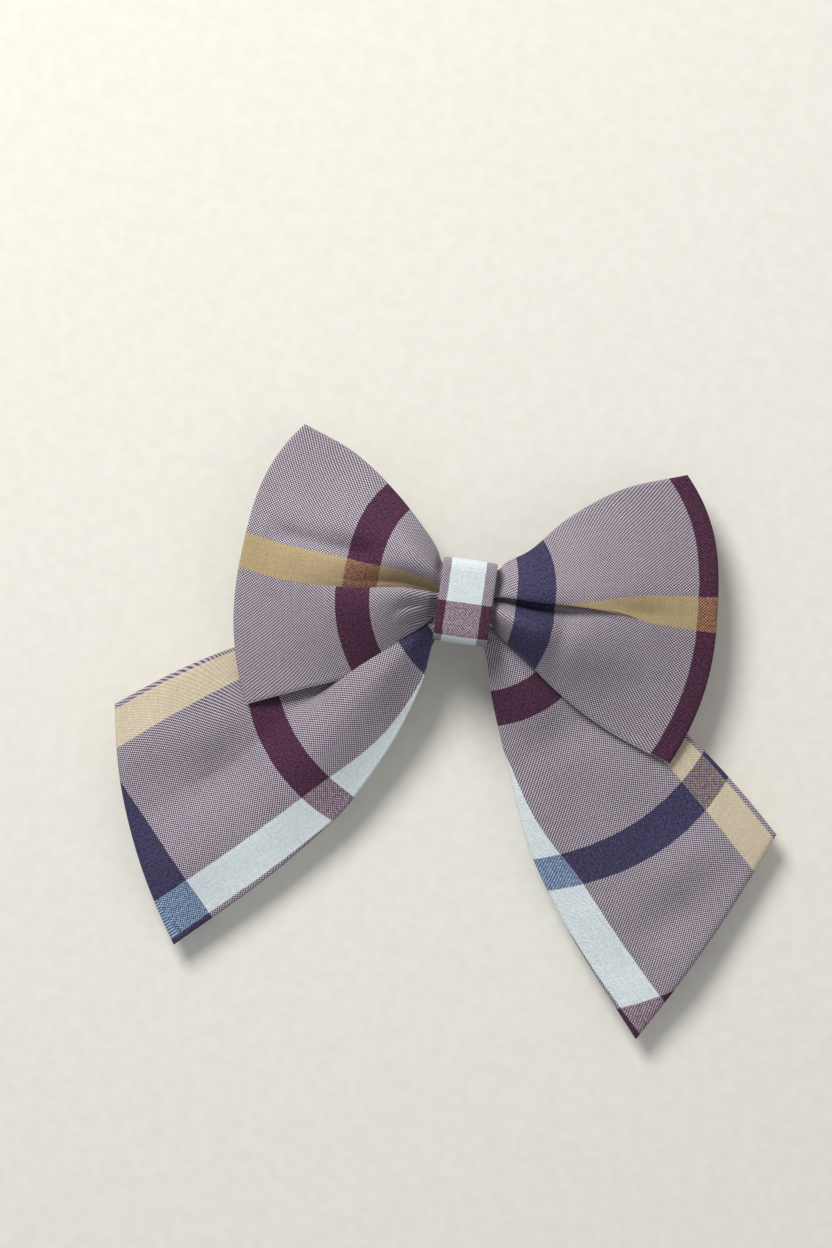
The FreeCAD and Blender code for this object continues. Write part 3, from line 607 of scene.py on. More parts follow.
def felt(name, colour):
    n = Nodes(name)
    place = n.object_place()
    fibres = n.noise(place, 1400.0, 5.0, 0.7)
    patches = n.noise(place, 90.0, 2.0)
    tone = n.ramp(n.plus(fibres, n.times(patches, 0.5)), 0.5, 1.0, 0.86, 1.06)
    n.surface(
        Base_Color=n.shaded(colour, tone),
        Roughness=n.ramp(fibres, 0.3, 0.7, 0.85, 1.0),
        Sheen_Weight=0.25,
        Normal=n.bump(fibres, 0.5, 0.0001),
    )
    return n.material


def set_glue():
    n = Nodes("set_glue")
    place = n.object_place()
    lumps = n.noise(place, 260.0, 2.0)
    cloud = n.noise(place, 700.0, 3.0)
    n.surface(
        Base_Color=n.mix(n.remap(cloud, 0.3, 0.7), srgb(232, 224, 200), srgb(214, 202, 172)),
        Roughness=n.ramp(lumps, 0.3, 0.7, 0.22, 0.4),
        Subsurface_Weight=0.4,
        Normal=n.bump(lumps, 0.5, 0.0003),
    )
    return n.material


def ribbed_ribbon():
    """Ribbon whose ribs run across it; the ribs themselves are in the mesh."""
    n = Nodes("ribbed_ribbon")
    uv = n.uv_map("cloth")
    across = n.split(uv)[1]
    warp = n.calc("SINE", n.times(across, 2 * math.pi / WARP_PITCH))
    fuzz = n.noise(uv, 9.0, 3.0)
    tone = n.plus(n.ramp(warp, -1.0, 1.0, 0.85, 1.05), n.ramp(fuzz, 0.3, 0.7, -0.08, 0.08))
    n.surface(
        Base_Color=n.shaded(srgb(96, 76, 104), tone),
        Roughness=n.ramp(fuzz, 0.3, 0.7, 0.45, 0.62),
        Sheen_Weight=0.2,
        Normal=n.bump(n.plus(warp, fuzz), 0.3, 0.00005),
    )
    return n.material


# ======== padded cloth ========
def dents(depth_map, first, second):
    """Soft round hollows and humps, each given by its place, its reach and its depth."""
    total = np.zeros_like(first)
    for at_first, at_second, reach_first, reach_second, depth in depth_map:
        from_first = (first - at_first) / reach_first
        from_second = (second - at_second) / reach_second
        total += depth * np.exp(-from_first ** 2 - from_second ** 2)
    return total


def swell(front, back, hold, limit):
    """Blows two joined sheets up as one cloth bag, and returns how far the points of each sheet move.

    hold is 1 where the cloth is sewn or gathered and 0 where it is free.
    """
    start, faces, _ = thick_sheet(front, back, np.zeros(front.shape[:2] + (2,)))
    bag = new_piece("bag", start * SIM_SCALE, faces)
    group = bag.vertex_groups.new(name="held")
    weights = np.concatenate([hold.ravel(), hold.ravel()])
    for i in np.nonzero(weights > 0.01)[0].tolist():
        group.add([i], float(weights[i]), "REPLACE")
    cloth = bag.modifiers.new("cloth", "CLOTH")
    for setting, value in SIM_CLOTH.items():
        setattr(cloth.settings, setting, value)
    cloth.settings.vertex_group_mass = group.name
    cloth.settings.effector_weights.gravity = 0.0
    cloth.collision_settings.use_collision = False
    cloth.point_cache.frame_end = SIM_FRAMES
    scene = bpy.context.scene
    for number in range(1, SIM_FRAMES + 1):
        scene.frame_set(number)
    settled = bag.evaluated_get(bpy.context.evaluated_depsgraph_get())
    end = np.empty(len(start) * 3, np.float32)
    settled.data.vertices.foreach_get("co", end)
    end = end.reshape(-1, 3).astype(float) / (MM * SIM_SCALE)
    bpy.data.objects.remove(bag)
    scene.frame_set(1)
    moved = end - start
    length = np.maximum(np.linalg.norm(moved, axis=1, keepdims=True), 1e-9)
    moved *= limit * np.tanh(length / limit) / length
    half = front.shape[0] * front.shape[1]
    return moved[:half].reshape(front.shape), moved[half:].reshape(back.shape)


def cloth_sheet(name, outer, middle_y, sign, uv, material):
    """One layer of the cloth: its outer skin is given, its inner skin lies one cloth thickness inside.

    sign is 1 for a front sheet and -1 for a back sheet; the two sheets close up on each other at the seam.
    """
    normal = grid_normals(outer)
    normal *= np.sign(np.median(normal[..., 1])) * sign
    room = np.clip(sign * (middle_y - outer[..., 1]) - SHEET_GAP, SHEET_GAP, CLOTH_THICK)
    skin = outer.copy()
    skin[..., 1] -= sign * SHEET_GAP
    inner = skin + normal * room[..., None]
    piece = new_piece(name, *thick_sheet(skin, inner, uv), material)
    return finish_mesh(piece)


def with_weave(grid, uv, fold_column):
    """Adds the place in the weave, measured along the cloth from the fold, and the shade painted into a fold,
    from its depth.
    """
    step = np.linalg.norm(np.diff(grid, axis=1), axis=2)
    run = np.concatenate([np.zeros((len(grid), 1)), np.cumsum(step, axis=1)], axis=1)
    depth = np.zeros(run.shape)
    for row in range(len(grid)):
        y = grid[row, :, 1]
        above = np.interp(run[row] + VALLEY_REACH, run[row], y)
        below = np.interp(run[row] - VALLEY_REACH, run[row], y)
        depth[row] = np.minimum(y - above, y - below)
    # how much shade is painted here: more the deeper the point lies behind the cloth on both sides
    painted_fold_shade = np.clip(depth / VALLEY_DEEP, 0, 1)
    from_fold = run - run[:, fold_column:fold_column + 1]
    return np.concatenate([uv, uv[..., :1], from_fold[..., None], painted_fold_shade[..., None]], axis=-1)


def near_back(front, back):
    """The sheet of stiffener: it lies against the back cloth and follows it."""
    middle = back.copy()
    room = np.maximum(back[..., 1] - front[..., 1], 0)
    middle[..., 1] -= np.minimum(STIFFENER_IN, room / 2)
    return middle


def stiffener_sheet(name, middle, uv, material):
    normal = grid_normals(middle)
    off = normal * STIFFENER_HALF
    piece = new_piece(name, *thick_sheet(middle + off, middle - off, uv), material)
    return finish_mesh(piece, 0)


def seam_tube(name, path, material):
    """A line of machine stitches: the thread dips and rises once a stitch."""
    path = np.asarray(path, float)
    length = run_length(path)
    places = np.arange(0, length[-1], STITCH_LENGTH / 4)
    dense = np.stack([np.interp(places, length, path[:, k]) for k in range(3)], axis=-1)
    dense[:, 1] += STITCH_DIP * np.sin(2 * math.pi * places / STITCH_LENGTH)
    return tube(name, dense, SEAM_THREAD_RADIUS, material, 6)


def padded_bag(name, front, back, hold, limit, fold_column, first_row, seam_path, materials):
    """The front cloth, back cloth, stiffener and seam of a bag, each with its place in the CAD.

    front and back are grids of points with their cloth coordinates. The stiffener starts at first_row,
    and seam_path picks the line of the seam from the grid between the two cloths.
    """
    cloth, stiff, thread = materials
    front, uv = front
    back, back_uv = back
    middle_y = (front[..., 1] + back[..., 1]) / 2
    front_moved, back_moved = swell(front, back, hold, limit)
    front = front + front_moved
    back = back + back_moved
    middle = near_back(front, back)
    uv = with_weave(front, uv, fold_column)
    back_uv = with_weave(back * (1, -1, 1), back_uv, fold_column)
    stiff_part = slice(first_row, -6), slice(6, -6)
    return (
        (cloth_sheet(name + "front_cloth", front, middle_y, 1, uv, cloth), "front_panel", "plaid_cloth"),
        (cloth_sheet(name + "back_cloth", back, middle_y, -1, back_uv, cloth), "back_panel", "plaid_cloth"),
        (stiffener_sheet(name + "stiffener", middle[stiff_part], uv[stiff_part], stiff),
         "interfacing", "interfacing"),
        (seam_tube(name + "seam", seam_path(middle), thread), "seam_thread", "thread"),
    )


# ======== wings ========
def column_places(fold):
    """Places up a column, closer together at the fold and at the rims."""
    rim = np.array(RIM_PLACES)
    below = np.linspace(-1, fold - FOLD_HALF, COLUMN_STEPS)
    wall = np.linspace(fold - FOLD_HALF, fold + FOLD_HALF, WALL_STEPS + 2)[1:-1]
    above = np.linspace(fold + FOLD_HALF, 1, COLUMN_STEPS)
    return np.concatenate([-rim, below[1:], wall, above[:-1], rim[::-1]])


def wing_outline_point(a, v, side):
    """Where column a of a wing is at height v, seen from the front."""
    sign = -1 if side == "left" else 1
    up = (v + 1) / 2
    power = np.where(v > 0, BULGE_POWER["upper"], BULGE_POWER["lower"])
    x = along(WING_AT, LOW_X[side], a) * (1 - up) + along(WING_AT, TOP_X[side], a) * up
    x = x + sign * along(WING_AT, BULGE[side], a) * (1 - np.abs(v) ** power)
    z = along(WING_AT, LOW_Z[side], a) * (1 - up) + along(WING_AT, TOP_Z[side], a) * up
    return x, z


def wing_front_profile(a, v, side, fold, across_fold):
    """How far the front cloth comes forward: one lobe hangs over the fold, the other runs under it."""
    upper = along(WING_AT, UPPER_LOBE, a)
    lower = along(WING_AT, LOWER_LOBE, a)
    above = np.clip((v - fold) / (1 - fold), 0, 1)
    below = np.clip((fold - v) / (1 + fold), 0, 1)

    def lip(share, height):
        rounded = (1 - 0.3 * np.exp(-share / 0.08)) * ease(np.abs(across_fold))
        return height * np.cos(math.pi * share / 2) ** 1.2 * rounded

    def tucked(share, height):
        return height * np.sin(math.pi * share ** 0.9) ** 1.25

    if side == "right":
        folded = np.where(v > fold, lip(above, upper), tucked(below, lower))
    else:
        folded = np.where(v > fold, tucked(above, upper), lip(below, lower))
    start, over = OPENS[side]
    opened = ease((a - start) / over)
    whole = (upper + lower) / 2 * np.cos(math.pi * v / 2) ** 2
    near_knot = ease(a / 0.12) * (1 - ease((a - 0.12) / 0.4))
    pleats = PLEAT_HEIGHT * np.cos(7.0 * v + 1.5) * near_knot
    return folded * (1 - opened) + whole * opened + pleats * (1 - v ** 2)


def wing_back_profile(a, v):
    """How far the back cloth comes forward: it follows the lobes without the fold."""
    upper = along(WING_AT, UPPER_LOBE, a)
    lower = along(WING_AT, LOWER_LOBE, a)
    opened = ease((a - 0.2) / 0.55)
    folded = np.where(v > 0, upper, lower) * np.sin(math.pi * v) ** 2
    whole = (upper + lower) / 2 * np.cos(math.pi * v / 2) ** 2
    return 0.8 * (folded * (1 - opened) + whole * opened)


def wing_column(station, layer):
    """Points, cloth coordinates and hold weights up one column of the front (1) or back (-1) sheet."""
    side = "left" if station < 0 else "right"
    a = abs(station)
    fold = float(along(WING_AT, FOLD_AT[side], a))
    v = column_places(fold)
    across_fold = np.clip((v - fold) / FOLD_HALF, -1, 1)
    hangs = 1 if side == "right" else -1
    x, z = wing_outline_point(a, v, side)
    rim = np.clip(np.minimum((1 - np.abs(v)) / 0.02, (1 - a) / 0.016), 0, 1)
    rounding = np.sqrt(1 - (1 - rim) ** 2)
    inside = (1 - v ** 4) * (1 - a ** 6)
    spacing = RIM_THICK + (along(WING_AT, WING_SPACING, a) - RIM_THICK) * inside
    profile = wing_back_profile(a, v)
    if layer > 0:
        closest = profile - spacing + LEAST_SPACING
        profile = wing_front_profile(a, v, side, fold, across_fold)
        hollow = dents(WING_DENTS, x, z) * inside
        profile = np.maximum(profile - hollow, np.minimum(profile, closest))
        z = z + hangs * along(WING_AT, OVERHANG[side], a) * np.cos(math.pi * across_fold / 2) ** 2
    y = along(WING_AT, WING_EDGE_Y, a) - profile - layer * spacing * rounding / 2
    hidden_to = along(WING_AT, HIDDEN_TO[side], a)
    tuck_start = fold + FOLD_HALF * (0.1 * hangs - 0.45)
    tuck_end = fold + FOLD_HALF * (0.1 * hangs + 0.45)
    under = GOLD_LOW - (CLOTH_HALF_HEIGHT + GOLD_LOW) * (fold - tuck_start) / (fold + 1)
    over = hidden_to + (CLOTH_HALF_HEIGHT - hidden_to) * (tuck_end - fold) / (1 - fold)
    height = np.interp(v, [-1, tuck_start, tuck_end, 1], [-CLOTH_HALF_HEIGHT, under, over, CLOTH_HALF_HEIGHT])
    length = station * EDGE_CLOTH[side] - WING_PLUM_AT
    if side == "left":
        below = np.clip((fold - v) / (1 + fold), 0, 1)
        part_way = ease(a / 0.3) * (1 - ease((a - 0.5) / 0.4))
        length = length + (1.6 * (v < fold) - 2.6 * below ** 1.6) * part_way
    cloth = np.stack([np.broadcast_to(length, v.shape), height - GOLD_LOW - GOLD_HALF], axis=-1)
    sewn = np.maximum(np.exp(-((1 - np.abs(v)) / 0.05) ** 2), math.exp(-((1 - a) / 0.05) ** 2))
    gathered = 1 - ease((a - 0.11) / 0.12)
    hold = np.maximum(np.maximum(sewn, gathered), 0.7 * (np.abs(v - fold) < FOLD_HALF * 2) * (a < 0.7))
    return np.stack([x, y, z], axis=-1), cloth, hold


def wing_grid(layer):
    """The front (1) or back (-1) sheet of both wings, from the left edge to the right edge."""
    shares = np.concatenate([0.004 + 0.98 * np.linspace(0, 1, 64) ** 1.1, [0.994, 1.0]])
    stations = np.concatenate([-shares[::-1], shares])
    columns = [wing_column(station, layer) for station in stations]
    return [np.array(part) for part in zip(*columns)]


def build_wings(*materials):
    front, uv, hold = wing_grid(1)
    back, back_uv, _ = wing_grid(-1)

    def seam_path(middle):
        inner = middle[5:-5, 5:-5]
        return np.concatenate([inner[:, 0], inner[-1, 1:], inner[-2::-1, -1], inner[0, -2:0:-1]])

    pieces = padded_bag(
        "bow_", (front, uv), (back, back_uv), hold,
        WING_SWELL_LIMIT, WING_FOLD_COLUMN, 6, seam_path, materials,
    )
    for piece, node, slot in pieces:
        stand_in(piece, "bow_" + node)


# ======== tails ========
def tail_directions(side):
    """Unit vectors along a tail and across it, towards its inner edge."""
    angle = math.radians(TAIL_ANGLE[side])
    sign = -1 if side == "left" else 1
    axis = np.array([sign * math.sin(angle), 0, -math.cos(angle)])
    return axis, np.array([-sign * math.cos(angle), 0, -math.sin(angle)])


def tail_widths(s, side):
    """From the tail's line to its outer edge and to its inner edge, at distance s from the knot."""
    opened = np.tanh(np.maximum(s - FAN_START, 0) / TAIL_OUTER_FAN[side])
    outer = np.sqrt(OUTER_ROOT ** 2 + (TAIL_OUTER_WIDTH[side] * opened) ** 2)
    return outer, along(TAIL_INNER_AT[side], TAIL_INNER[side], s)


def tail_points(s, q, side, layer, rounding):
    """Points of a tail sheet: s from the knot, q from the outer edge (-1) to the inner edge (1)."""
    outer, inner = tail_widths(s, side)
    blend = ease((q + 1) / 2)
    w = FOLD_LINE + q * (outer + FOLD_LINE) * (1 - blend) + q * (inner - FOLD_LINE) * blend
    steep = along(ROLL_AT, ROLL_STEEP[side], s)
    inward = np.clip((q - ROLL_FROM[side]) / (1 - ROLL_FROM[side]), 0, 1)
    roll = along(ROLL_AT, ROLL_HEIGHT[side], s) * np.sin(math.pi * inward ** steep) ** 1.5
    near_roll = np.clip((q - 0.11) / 0.16, -1, 1)
    over = along(ROLL_AT, ROLL_OVERHANG[side], s) * np.cos(math.pi * near_roll / 2) ** 2
    y_back = TAIL_ROOT_Y + TAIL_DROP * (1 - np.exp(-(s - TAIL_DROP_FROM) / TAIL_DROP_OVER))
    inside = 1 - q ** 4
    spacing = RIM_THICK + (along(ROLL_AT, TAIL_SPACING, s) - RIM_THICK) * inside
    hollow = dents(TAIL_DENTS[side], s, w) * inside * (1.0 if layer > 0 else 0.5)
    y = y_back - roll + hollow - layer * spacing * rounding / 2
    axis, cross = tail_directions(side)
    point = s[..., None] * axis + (w - over)[..., None] * cross
    point[..., 1] = y
    return point, w


def tail_cloth(s, q, w, side):
    """Cloth coordinates: the stripes across a tail bow a little, and less of its width shows at the root."""
    outer, inner = tail_widths(s, side)
    bend = along(TAIL_BEND_AT, TAIL_BEND[side], s)
    length = s * (1 + bend * (q - TAIL_BEND_MIDDLE[side]) ** 2) - TAIL_PLUM_AT[side]
    seen = along(TAIL_SEEN_AT[side], TAIL_SEEN[side], s)
    from_fold = w - FOLD_LINE
    outer_cloth = along(TAIL_OUTER_CLOTH_AT, TAIL_OUTER_CLOTH, s)
    height = np.where(
        from_fold > 0,
        from_fold / (inner - FOLD_LINE) * (seen - FOLD_LINE),
        from_fold / (outer + FOLD_LINE) * (outer_cloth + FOLD_LINE),
    )
    length = length * TAIL_STRETCH[side]
    navy_end = PLAID_REPEAT / 2 + NAVY_HALF
    if side == "left":
        length = np.minimum(length, navy_end - 0.3)
    else:
        length = np.where(length > navy_end, navy_end + (length - navy_end) * 1.11, length)
    return np.stack([length, height + FOLD_LINE + TAIL_GOLD_OFFSET], axis=-1)


def tail_grid(side, layer):
    """Points, cloth coordinates and hold weights of the front (1) or back (-1) sheet of a tail."""
    rim_places = np.array(RIM_PLACES)
    inner_places = np.linspace(-1, 1, TAIL_ACROSS_STEPS + 2)[1:-1]
    q_row = np.concatenate([-rim_places, inner_places, rim_places[::-1]])
    shortest, longest = TAIL_LENGTHS[side]
    end = shortest + (longest - shortest) * (q_row + 1) / 2 + TAIL_END_BOW[side] * (1 - q_row ** 2)
    share = np.concatenate([np.linspace(0, 1, 76)[:-1] ** 1.15 * 0.985, [0.985, 0.995, 1.0]])[:, None]
    s = TAIL_START + (end[None, :] - TAIL_START) * share
    q = np.broadcast_to(q_row, s.shape)
    rim = np.clip(np.minimum((1 - np.abs(q)) / 0.02, (1 - share) / 0.015), 0, 1)
    points, w = tail_points(s, q, side, layer, np.sqrt(1 - (1 - rim) ** 2))
    cloth = tail_cloth(s, q, w, side)
    sign = -1 if side == "left" else 1
    gate = np.stack([
        np.full_like(q_row, sign * 4.2),
        -6.8 - layer * (0.4 + 1.2 * np.sqrt(np.maximum(0, 1 - q_row ** 2))),
        -6.9 - 1.9 * q_row,
    ], axis=-1)
    steps = np.linspace(0, 1, TAIL_LEAD_ROWS + 1)[:-1]
    lead = np.array([gate * (1 - ease(t)) + points[0] * ease(t) for t in steps])
    lead_cloth = np.array([cloth[0] - np.array([6.5 * (1 - t), 0.0]) for t in steps])
    sewn = np.maximum(np.exp(-((1 - np.abs(q)) / 0.05) ** 2), np.exp(-((1 - share) / 0.04) ** 2))
    hold = np.maximum(sewn, 1 - ease((s - 14.0) / 10.0))
    hold = np.concatenate([np.ones((len(steps), len(q_row))), hold])
    return np.concatenate([lead, points]), np.concatenate([lead_cloth, cloth]), hold


def build_tail(side, *materials):
    front, uv, hold = tail_grid(side, 1)
    back, _, _ = tail_grid(side, -1)
    name = side + "_tail_"
    lead = TAIL_LEAD_ROWS + 1

    def seam_path(middle):
        free = middle[lead:]
        return np.concatenate([free[:-5, 4], free[-5, 5:-4], free[-6::-1, -5]])

    pieces = padded_bag(
        name, (front, uv), (back, uv), hold,
        TAIL_SWELL_LIMIT, TAIL_FOLD_COLUMN, lead + 4, seam_path, materials,
    )
    for piece, node, slot in pieces:
        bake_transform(piece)
        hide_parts(name + node)


# ======== band ========
def band_path(shrink):
    """Points round the band seen from its side, from the middle of the hair side round the top and front."""
    low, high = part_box("centre_band")
    y_front, y_back = low.y / MM + shrink, high.y / MM - shrink
    z_low, z_high = low.z / MM + shrink, high.z / MM - shrink
    radius = BAND_CORNER - shrink * 0.8
    corners = [
        (y_back, z_high), (y_front, z_high), (y_front + 0.15, z_low + 0.8), (y_back, z_low),
    ]
    path = []
    for i, corner in enumerate(corners):
        before = np.array(corners[i - 1])
        after = np.array(corners[(i + 1) % 4])
        corner = np.array(corner)
        into = unit(corner - before)
        out = unit(after - corner)
        for t in np.linspace(0, 1, 9):
            start = corner - into * radius
            finish = corner + out * radius
            path.append((1 - t) ** 2 * start + 2 * t * (1 - t) * corner + t ** 2 * finish)
    path = np.array(path)
    closed = np.concatenate([path, path[:1]])
    length = run_length(closed)
    places = np.linspace(0, length[-1], BAND_STEPS + 1)[:-1]
    return np.stack([np.interp(places, length, closed[:, k]) for k in (0, 1)], axis=-1), length[-1]


def strip_section(width, thick, puff):
    """The strip cut across: its outer side with rounded edges, then its flat inner side."""
    half = width / 2
    edge_places = (half, half - 0.12)
    outer_places = np.linspace(-half + BAND_EDGE, half - BAND_EDGE, 17)
    section = []
    for x in np.concatenate([np.negative(edge_places), outer_places, edge_places[::-1]]):
        edge = min(1.0, (half - abs(x)) / BAND_EDGE)
        drop = thick * 0.5 * (1 - math.sqrt(max(0.0, 1 - (1 - edge) ** 2)))
        section.append((x, puff * (1 - (x / half) ** 2) - drop))
    for x in np.linspace(half - 0.1, -half + 0.1, 9):
        section.append((x, -thick))
    return np.array(section)


def build_band_loop(name, shrink, section, material, node):
    """A closed strip looped round the knot."""
    path, length = band_path(shrink)
    centre = path.mean(axis=0)
    around = len(path)
    ahead = unit(np.roll(path, -1, axis=0) - np.roll(path, 1, axis=0))
    outward = np.stack([ahead[:, 1], -ahead[:, 0]], axis=-1)
    outward *= np.sign(((path - centre) * outward).sum(axis=1, keepdims=True))
    vertices = np.zeros((around, len(section), 3))
    vertices[..., 0] = section[None, :, 0]
    vertices[..., 1:] = path[:, None, :] + outward[:, None, :] * section[None, :, 1, None]
    index = np.arange(around * len(section)).reshape(around, len(section))
    next_column = np.roll(index, -1, axis=1)
    corners = [index, next_column, np.roll(next_column, -1, axis=0), np.roll(index, -1, axis=0)]
    faces = np.stack(corners, axis=-1).reshape(-1, 4)
    along_loop = np.linspace(0, length, around, endpoint=False)
    not_front = path[:, 0] > path[:, 0].min() + 1.0
    front_at = along_loop[np.argmin(np.abs(path[:, 1] - BAND_PLUM_Z) + 10 * not_front)]
    uv = np.zeros((around, len(section), 2))
    uv[..., 0] = (along_loop - front_at)[:, None] * 1.08
    uv[..., 1] = PLAID_REPEAT / 2 + (section[None, :, 0] + 0.3) * 1.12
    piece = new_piece(name, vertices.reshape(-1, 3), faces.tolist(), uv.reshape(-1, 2), material)
    stand_in(finish_mesh(piece), node)


def build_band(plaid, lining_material):
    cloth = strip_section(BAND_WIDTH, *BAND_CLOTH)
    lining = strip_section(BAND_WIDTH - 0.4, *BAND_LINING)
    build_band_loop("centre_band_cloth", 0.0, cloth, plaid, "centre_band")
    build_band_loop(
        "centre_band_stiffener", LINING_INSIDE, lining, lining_material, "centre_band_lining",
    )


def build_tail_waist(material):
    """The bunched cloth of the tail strip inside the band."""
    rows = 25
    ring = 48
    t = np.linspace(-1, 1, rows)
    x = t[:, None] * WAIST_HALF_LENGTH
    deep, high = WAIST_RADII
    angle = np.arange(ring) * 2 * math.pi / ring
    pleat = 1 + 0.10 * np.cos(WAIST_PLEATS * angle)
    bend = t[:, None] ** 2
    vertices = np.zeros((rows, ring, 3))
    vertices[..., 0] = x
    vertices[..., 1] = -6.8 + 0.8 * bend + (deep - 0.5 * bend) * np.sin(angle) * pleat
    vertices[..., 2] = -6.7 + high * np.cos(angle) * pleat
    uv = np.zeros((rows, ring, 2))
    uv[..., 0] = x + 20.0
    uv[..., 1] = 14.0 + np.abs(angle / math.pi - 1) * 12.0
    faces = ring_faces(rows, ring)
    piece = new_piece("tail_waist_cloth", vertices.reshape(-1, 3), faces, uv.reshape(-1, 2), material)
    stand_in(finish_mesh(piece, 0), "tail_waist")


# ======== clip ========
def build_spring(material):
    """A coil round the pin, with one leg along the arm and one along the jaw."""
    pin_low, pin_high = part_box("clip_hinge_pin")
    pin = (pin_low + pin_high) / 2 / MM
    radius = SPRING_RADIUS
    half = SPRING_HALF_WIDTH
    path = [(pin.x + SPRING_LEG * share, pin.y - radius, -half) for share in (1.0, 0.75, 0.5, 0.25)]
    steps = 24
    coil_steps = int(SPRING_TURNS * steps)
    for i in range(coil_steps + 1):
        angle = -math.pi / 2 - 2 * math.pi * i / steps
        x = pin.x + radius * math.cos(angle)
        y = pin.y + radius * math.sin(angle)
        path.append((x, y, -half + 2 * half * i / coil_steps))
    for run in (1.0, 1.9):
        path.append((pin.x + run, pin.y + radius + 0.05 * run * run, half))
    slope = math.radians(SPRING_LEG_SLOPE)
    last = path[-1]
    for run in (1.2, 2.6, 4.0, 5.6):
        path.append((last[0] + run * math.cos(slope), last[1] + 0.05 + run * math.sin(slope), half))
    piece = finish_mesh(tube("clip_spring_coil", path, SPRING_WIRE, material, 14))
    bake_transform(piece)
    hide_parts("clip_spring")


def build_ribbon(material):
    """Ribbon folded round the tip of the arm, with its ribs in the mesh."""
    low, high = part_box("clip_ribbon_lining")
    y_front, y_back = low.y / MM + RIBBON_THICK, high.y / MM - RIBBON_THICK
    tip, end = low.x / MM + RIBBON_THICK, high.x / MM
    half_gap = (y_back - y_front) / 2
    middle = (y_front + y_back) / 2
    path = [(x, y_front) for x in np.arange(end, tip + half_gap, -RIBBON_STEP)]
    for angle in np.linspace(-math.pi / 2, math.pi / 2, 22):
        path.append((tip + half_gap * (1 - math.cos(angle)), middle + half_gap * math.sin(angle)))
    path += [(x, y_back) for x in np.arange(tip + half_gap, end, RIBBON_STEP)]
    path = np.array(path)
    ahead = unit(np.gradient(path, axis=0))
    outward = np.stack([ahead[:, 1], -ahead[:, 0]], axis=-1)
    inside = np.array([end - 5, middle])
    outward *= np.sign(((path - inside) * outward).sum(axis=1, keepdims=True) + 1e-9)
    length = run_length(path)
    rib = RIB_HEIGHT * (np.cos(2 * math.pi * length / RIB_PITCH) - 1)
    half = (high.z - low.z) / 2 / MM
    across = np.linspace(-half, half, 13)

    def skin(lift):
        """The path lifted off the arm, repeated across the ribbon."""
        points = np.zeros((len(path), len(across), 3))
        points[..., :2] = (path + outward * lift)[:, None]
        points[..., 2] = across
        return points

    uv = np.stack(np.broadcast_arrays(length[:, None], across[None, :]), axis=-1)
    sheet = thick_sheet(skin(RIBBON_THICK + rib[:, None]), skin(0.03), uv)
    piece = new_piece("clip_ribbon", *sheet, material)
    stand_in(finish_mesh(piece, 0), "clip_ribbon_lining")


def dress_cad_nodes(steel, thread, glue):
    """Materials for the CAD pieces whose shape is shown as it is."""
    looks = (
        (steel, ("clip_upper_arm", "clip_jaw", "clip_hinge_pin")),
        (glue, ("glue_pad",)),
        (thread, ("bow_waist_thread", "tail_waist_thread", "joining_thread", "band_stitches")),
    )
    for material, nodes in looks:
        for node in nodes:
            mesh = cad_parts[node].data
            mesh.materials.clear()
            mesh.materials.append(material)


# ======== setting ========
def floor_material():
    """Plain pale surface that only shows its front and never throws a shadow of its own."""
    n = Nodes("floor_pale")
    place = n.object_place()
    grain = n.noise(place, 300.0, 3.0)
    diffuse = n.add("BsdfDiffuse")
    pale = n.mix(n.remap(grain, 0.3, 0.7), (0.70, 0.69, 0.63), (0.73, 0.72, 0.66))
    n.join(pale, diffuse.inputs[0])
    clear = n.add("BsdfTransparent")
    behind = n.add("NewGeometry").outputs["Backfacing"]
    shadow = n.add("LightPath").outputs["Is Shadow Ray"]
    choose = n.add("MixShader")
    n.join(n.calc("MAXIMUM", behind, shadow), choose.inputs[0])
    n.tree.links.new(diffuse.outputs[0], choose.inputs[1])
    n.tree.links.new(clear.outputs[0], choose.inputs[2])
    output = n.add("OutputMaterial")
    n.tree.links.new(choose.outputs[0], output.inputs[0])
    return n.material


def back_marks():
    """Empties on the moving bodies, at the back corners of what swings back, and one on the bow."""
    places = [("bow", Vector((0, CAD_HIGH.y, 0)))]
    for body, node in SWINGS_BACK:
        low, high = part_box(node)
        for x in (low.x, high.x):
            for z in (low.z, high.z):
                places.append((body, Vector((x, high.y, z))))
    marks = []
    for body, place in places:
        mark = new_object("back_mark", None)
        mark.location = place
        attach(mark, body)
        marks.append(mark)
    return marks


def build_floor():
    """Pale floor just behind the bow, pushed back by whichever mark stands furthest back."""
    half = FLOOR_HALF
    vertices = [(x, FLOOR_GAP, z) for x, z in ((-half, -half), (half, -half), (half, half), (-half, half))]
    floor = new_piece("floor", vertices, [[0, 1, 2, 3]], None, floor_material(), smooth=False)
    driver = floor.driver_add("location", 1).driver
    driver.type = "MAX"
    for mark in back_marks():
        variable = driver.variables.new()
        variable.type = "TRANSFORMS"
        target = variable.targets[0]
        target.id = mark
        target.transform_type = "LOC_Y"
        target.transform_space = "WORLD_SPACE"


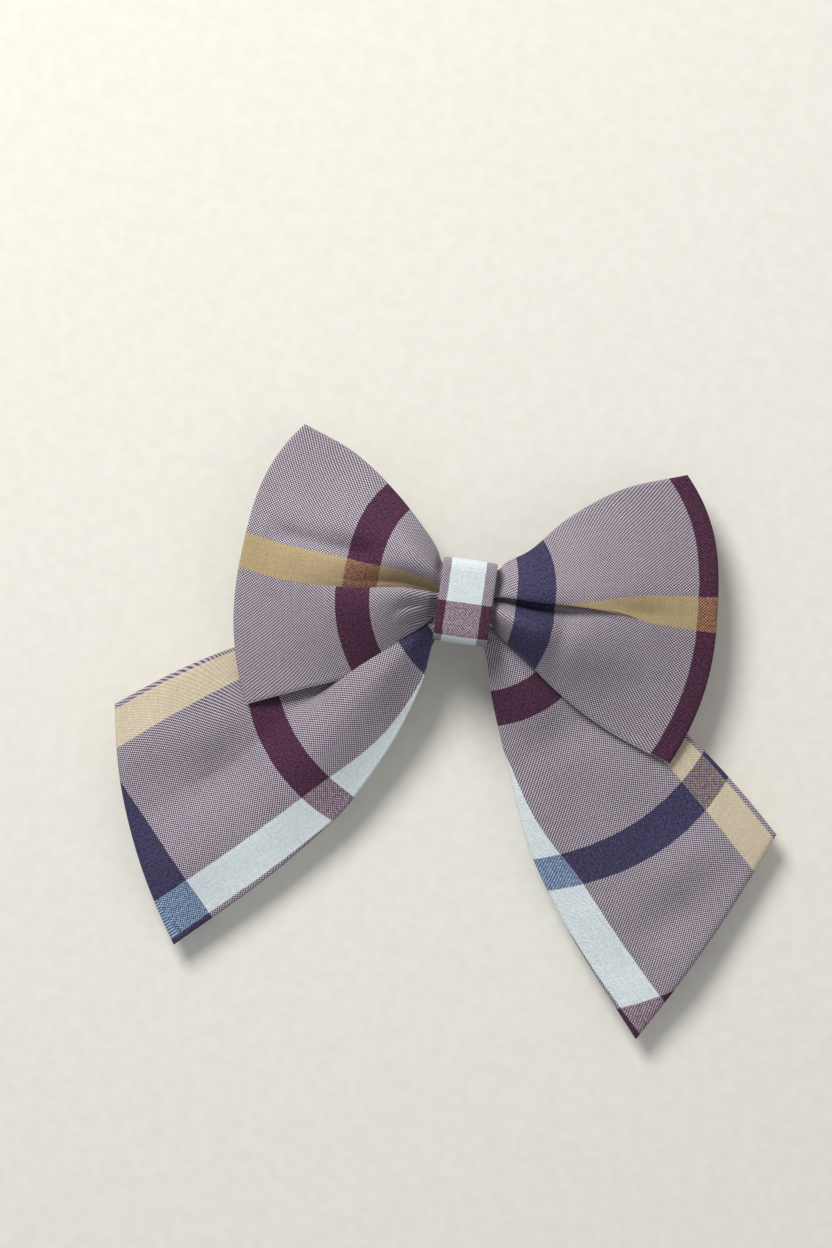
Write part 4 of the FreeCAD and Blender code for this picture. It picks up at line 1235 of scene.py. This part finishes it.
def add_light(name, place, size, power, colour):
    data = bpy.data.lights.new(name, "AREA")
    data.shape = "DISK"
    data.size = size
    data.energy = power
    data.color = colour
    light = new_object(name, data)
    light.location = place
    light.rotation_mode = "QUATERNION"
    light.rotation_quaternion = (Vector(LIGHTS_AIM) - Vector(place)).to_track_quat("-Z", "Y")


def build_lights():
    add_light("key", (-0.50, -0.80, 0.66), 0.50, 14.0, (1.0, 0.985, 0.96))
    add_light("fill", (0.9, -0.9, -0.2), 0.9, 1.2, (1.0, 0.96, 0.9))
    add_light("behind", (-0.5, 1.0, 0.6), 0.8, 9.0, (1.0, 1.0, 1.0))
    world = bpy.data.worlds.new("studio")
    world.use_nodes = True
    background = world.node_tree.nodes["Background"].inputs
    background[0].default_value = (0.97, 0.975, 1.0, 1.0)
    background[1].default_value = 0.42
    bpy.context.scene.world = world


def build_camera():
    """Looks straight at the front of the bow, turned so that the bow leans clockwise."""
    data = bpy.data.cameras.new("camera")
    data.lens = CAMERA_LENS
    data.sensor_width = 36.0
    camera = new_object("camera", data)
    lean = math.radians(BOW_LEAN)
    right = Vector((math.cos(lean), 0, math.sin(lean)))
    up = Vector((-math.sin(lean), 0, math.cos(lean)))
    back = Vector((0, -1, 0))
    camera.matrix_world = Matrix((
        (right.x, up.x, back.x, CAMERA_AT[0]),
        (right.y, up.y, back.y, -CAMERA_DISTANCE),
        (right.z, up.z, back.z, CAMERA_AT[1]),
        (0, 0, 0, 1),
    ))
    bpy.context.scene.camera = camera
    bpy.context.scene.view_settings.view_transform = "Standard"


def main():
    # painted light and shade: one gold dye, given darker for the wings, band and waist as shade, and lighter
    # for the tails as light
    plaid = plaid_cloth("plaid_cloth", srgb(184, 164, 128))
    plaid_tails = plaid_cloth("plaid_cloth_tails", srgb(218, 205, 180))
    stiffener = felt("stiffener_felt", srgb(226, 224, 216))
    thread = spun_thread("mauve_thread", srgb(112, 92, 120))
    steel = brushed_metal("nickel_steel", srgb(206, 206, 208), 0.28)
    wire = brushed_metal("spring_wire", srgb(170, 170, 174), 0.32)
    build_wings(plaid, stiffener, thread)
    build_tail("left", plaid_tails, stiffener, thread)
    build_tail("right", plaid_tails, stiffener, thread)
    build_tail_waist(plaid)
    build_band(plaid, stiffener)
    build_spring(wire)
    build_ribbon(ribbed_ribbon())
    dress_cad_nodes(steel, thread, set_glue())
    build_floor()
    build_lights()
    build_camera()


main()
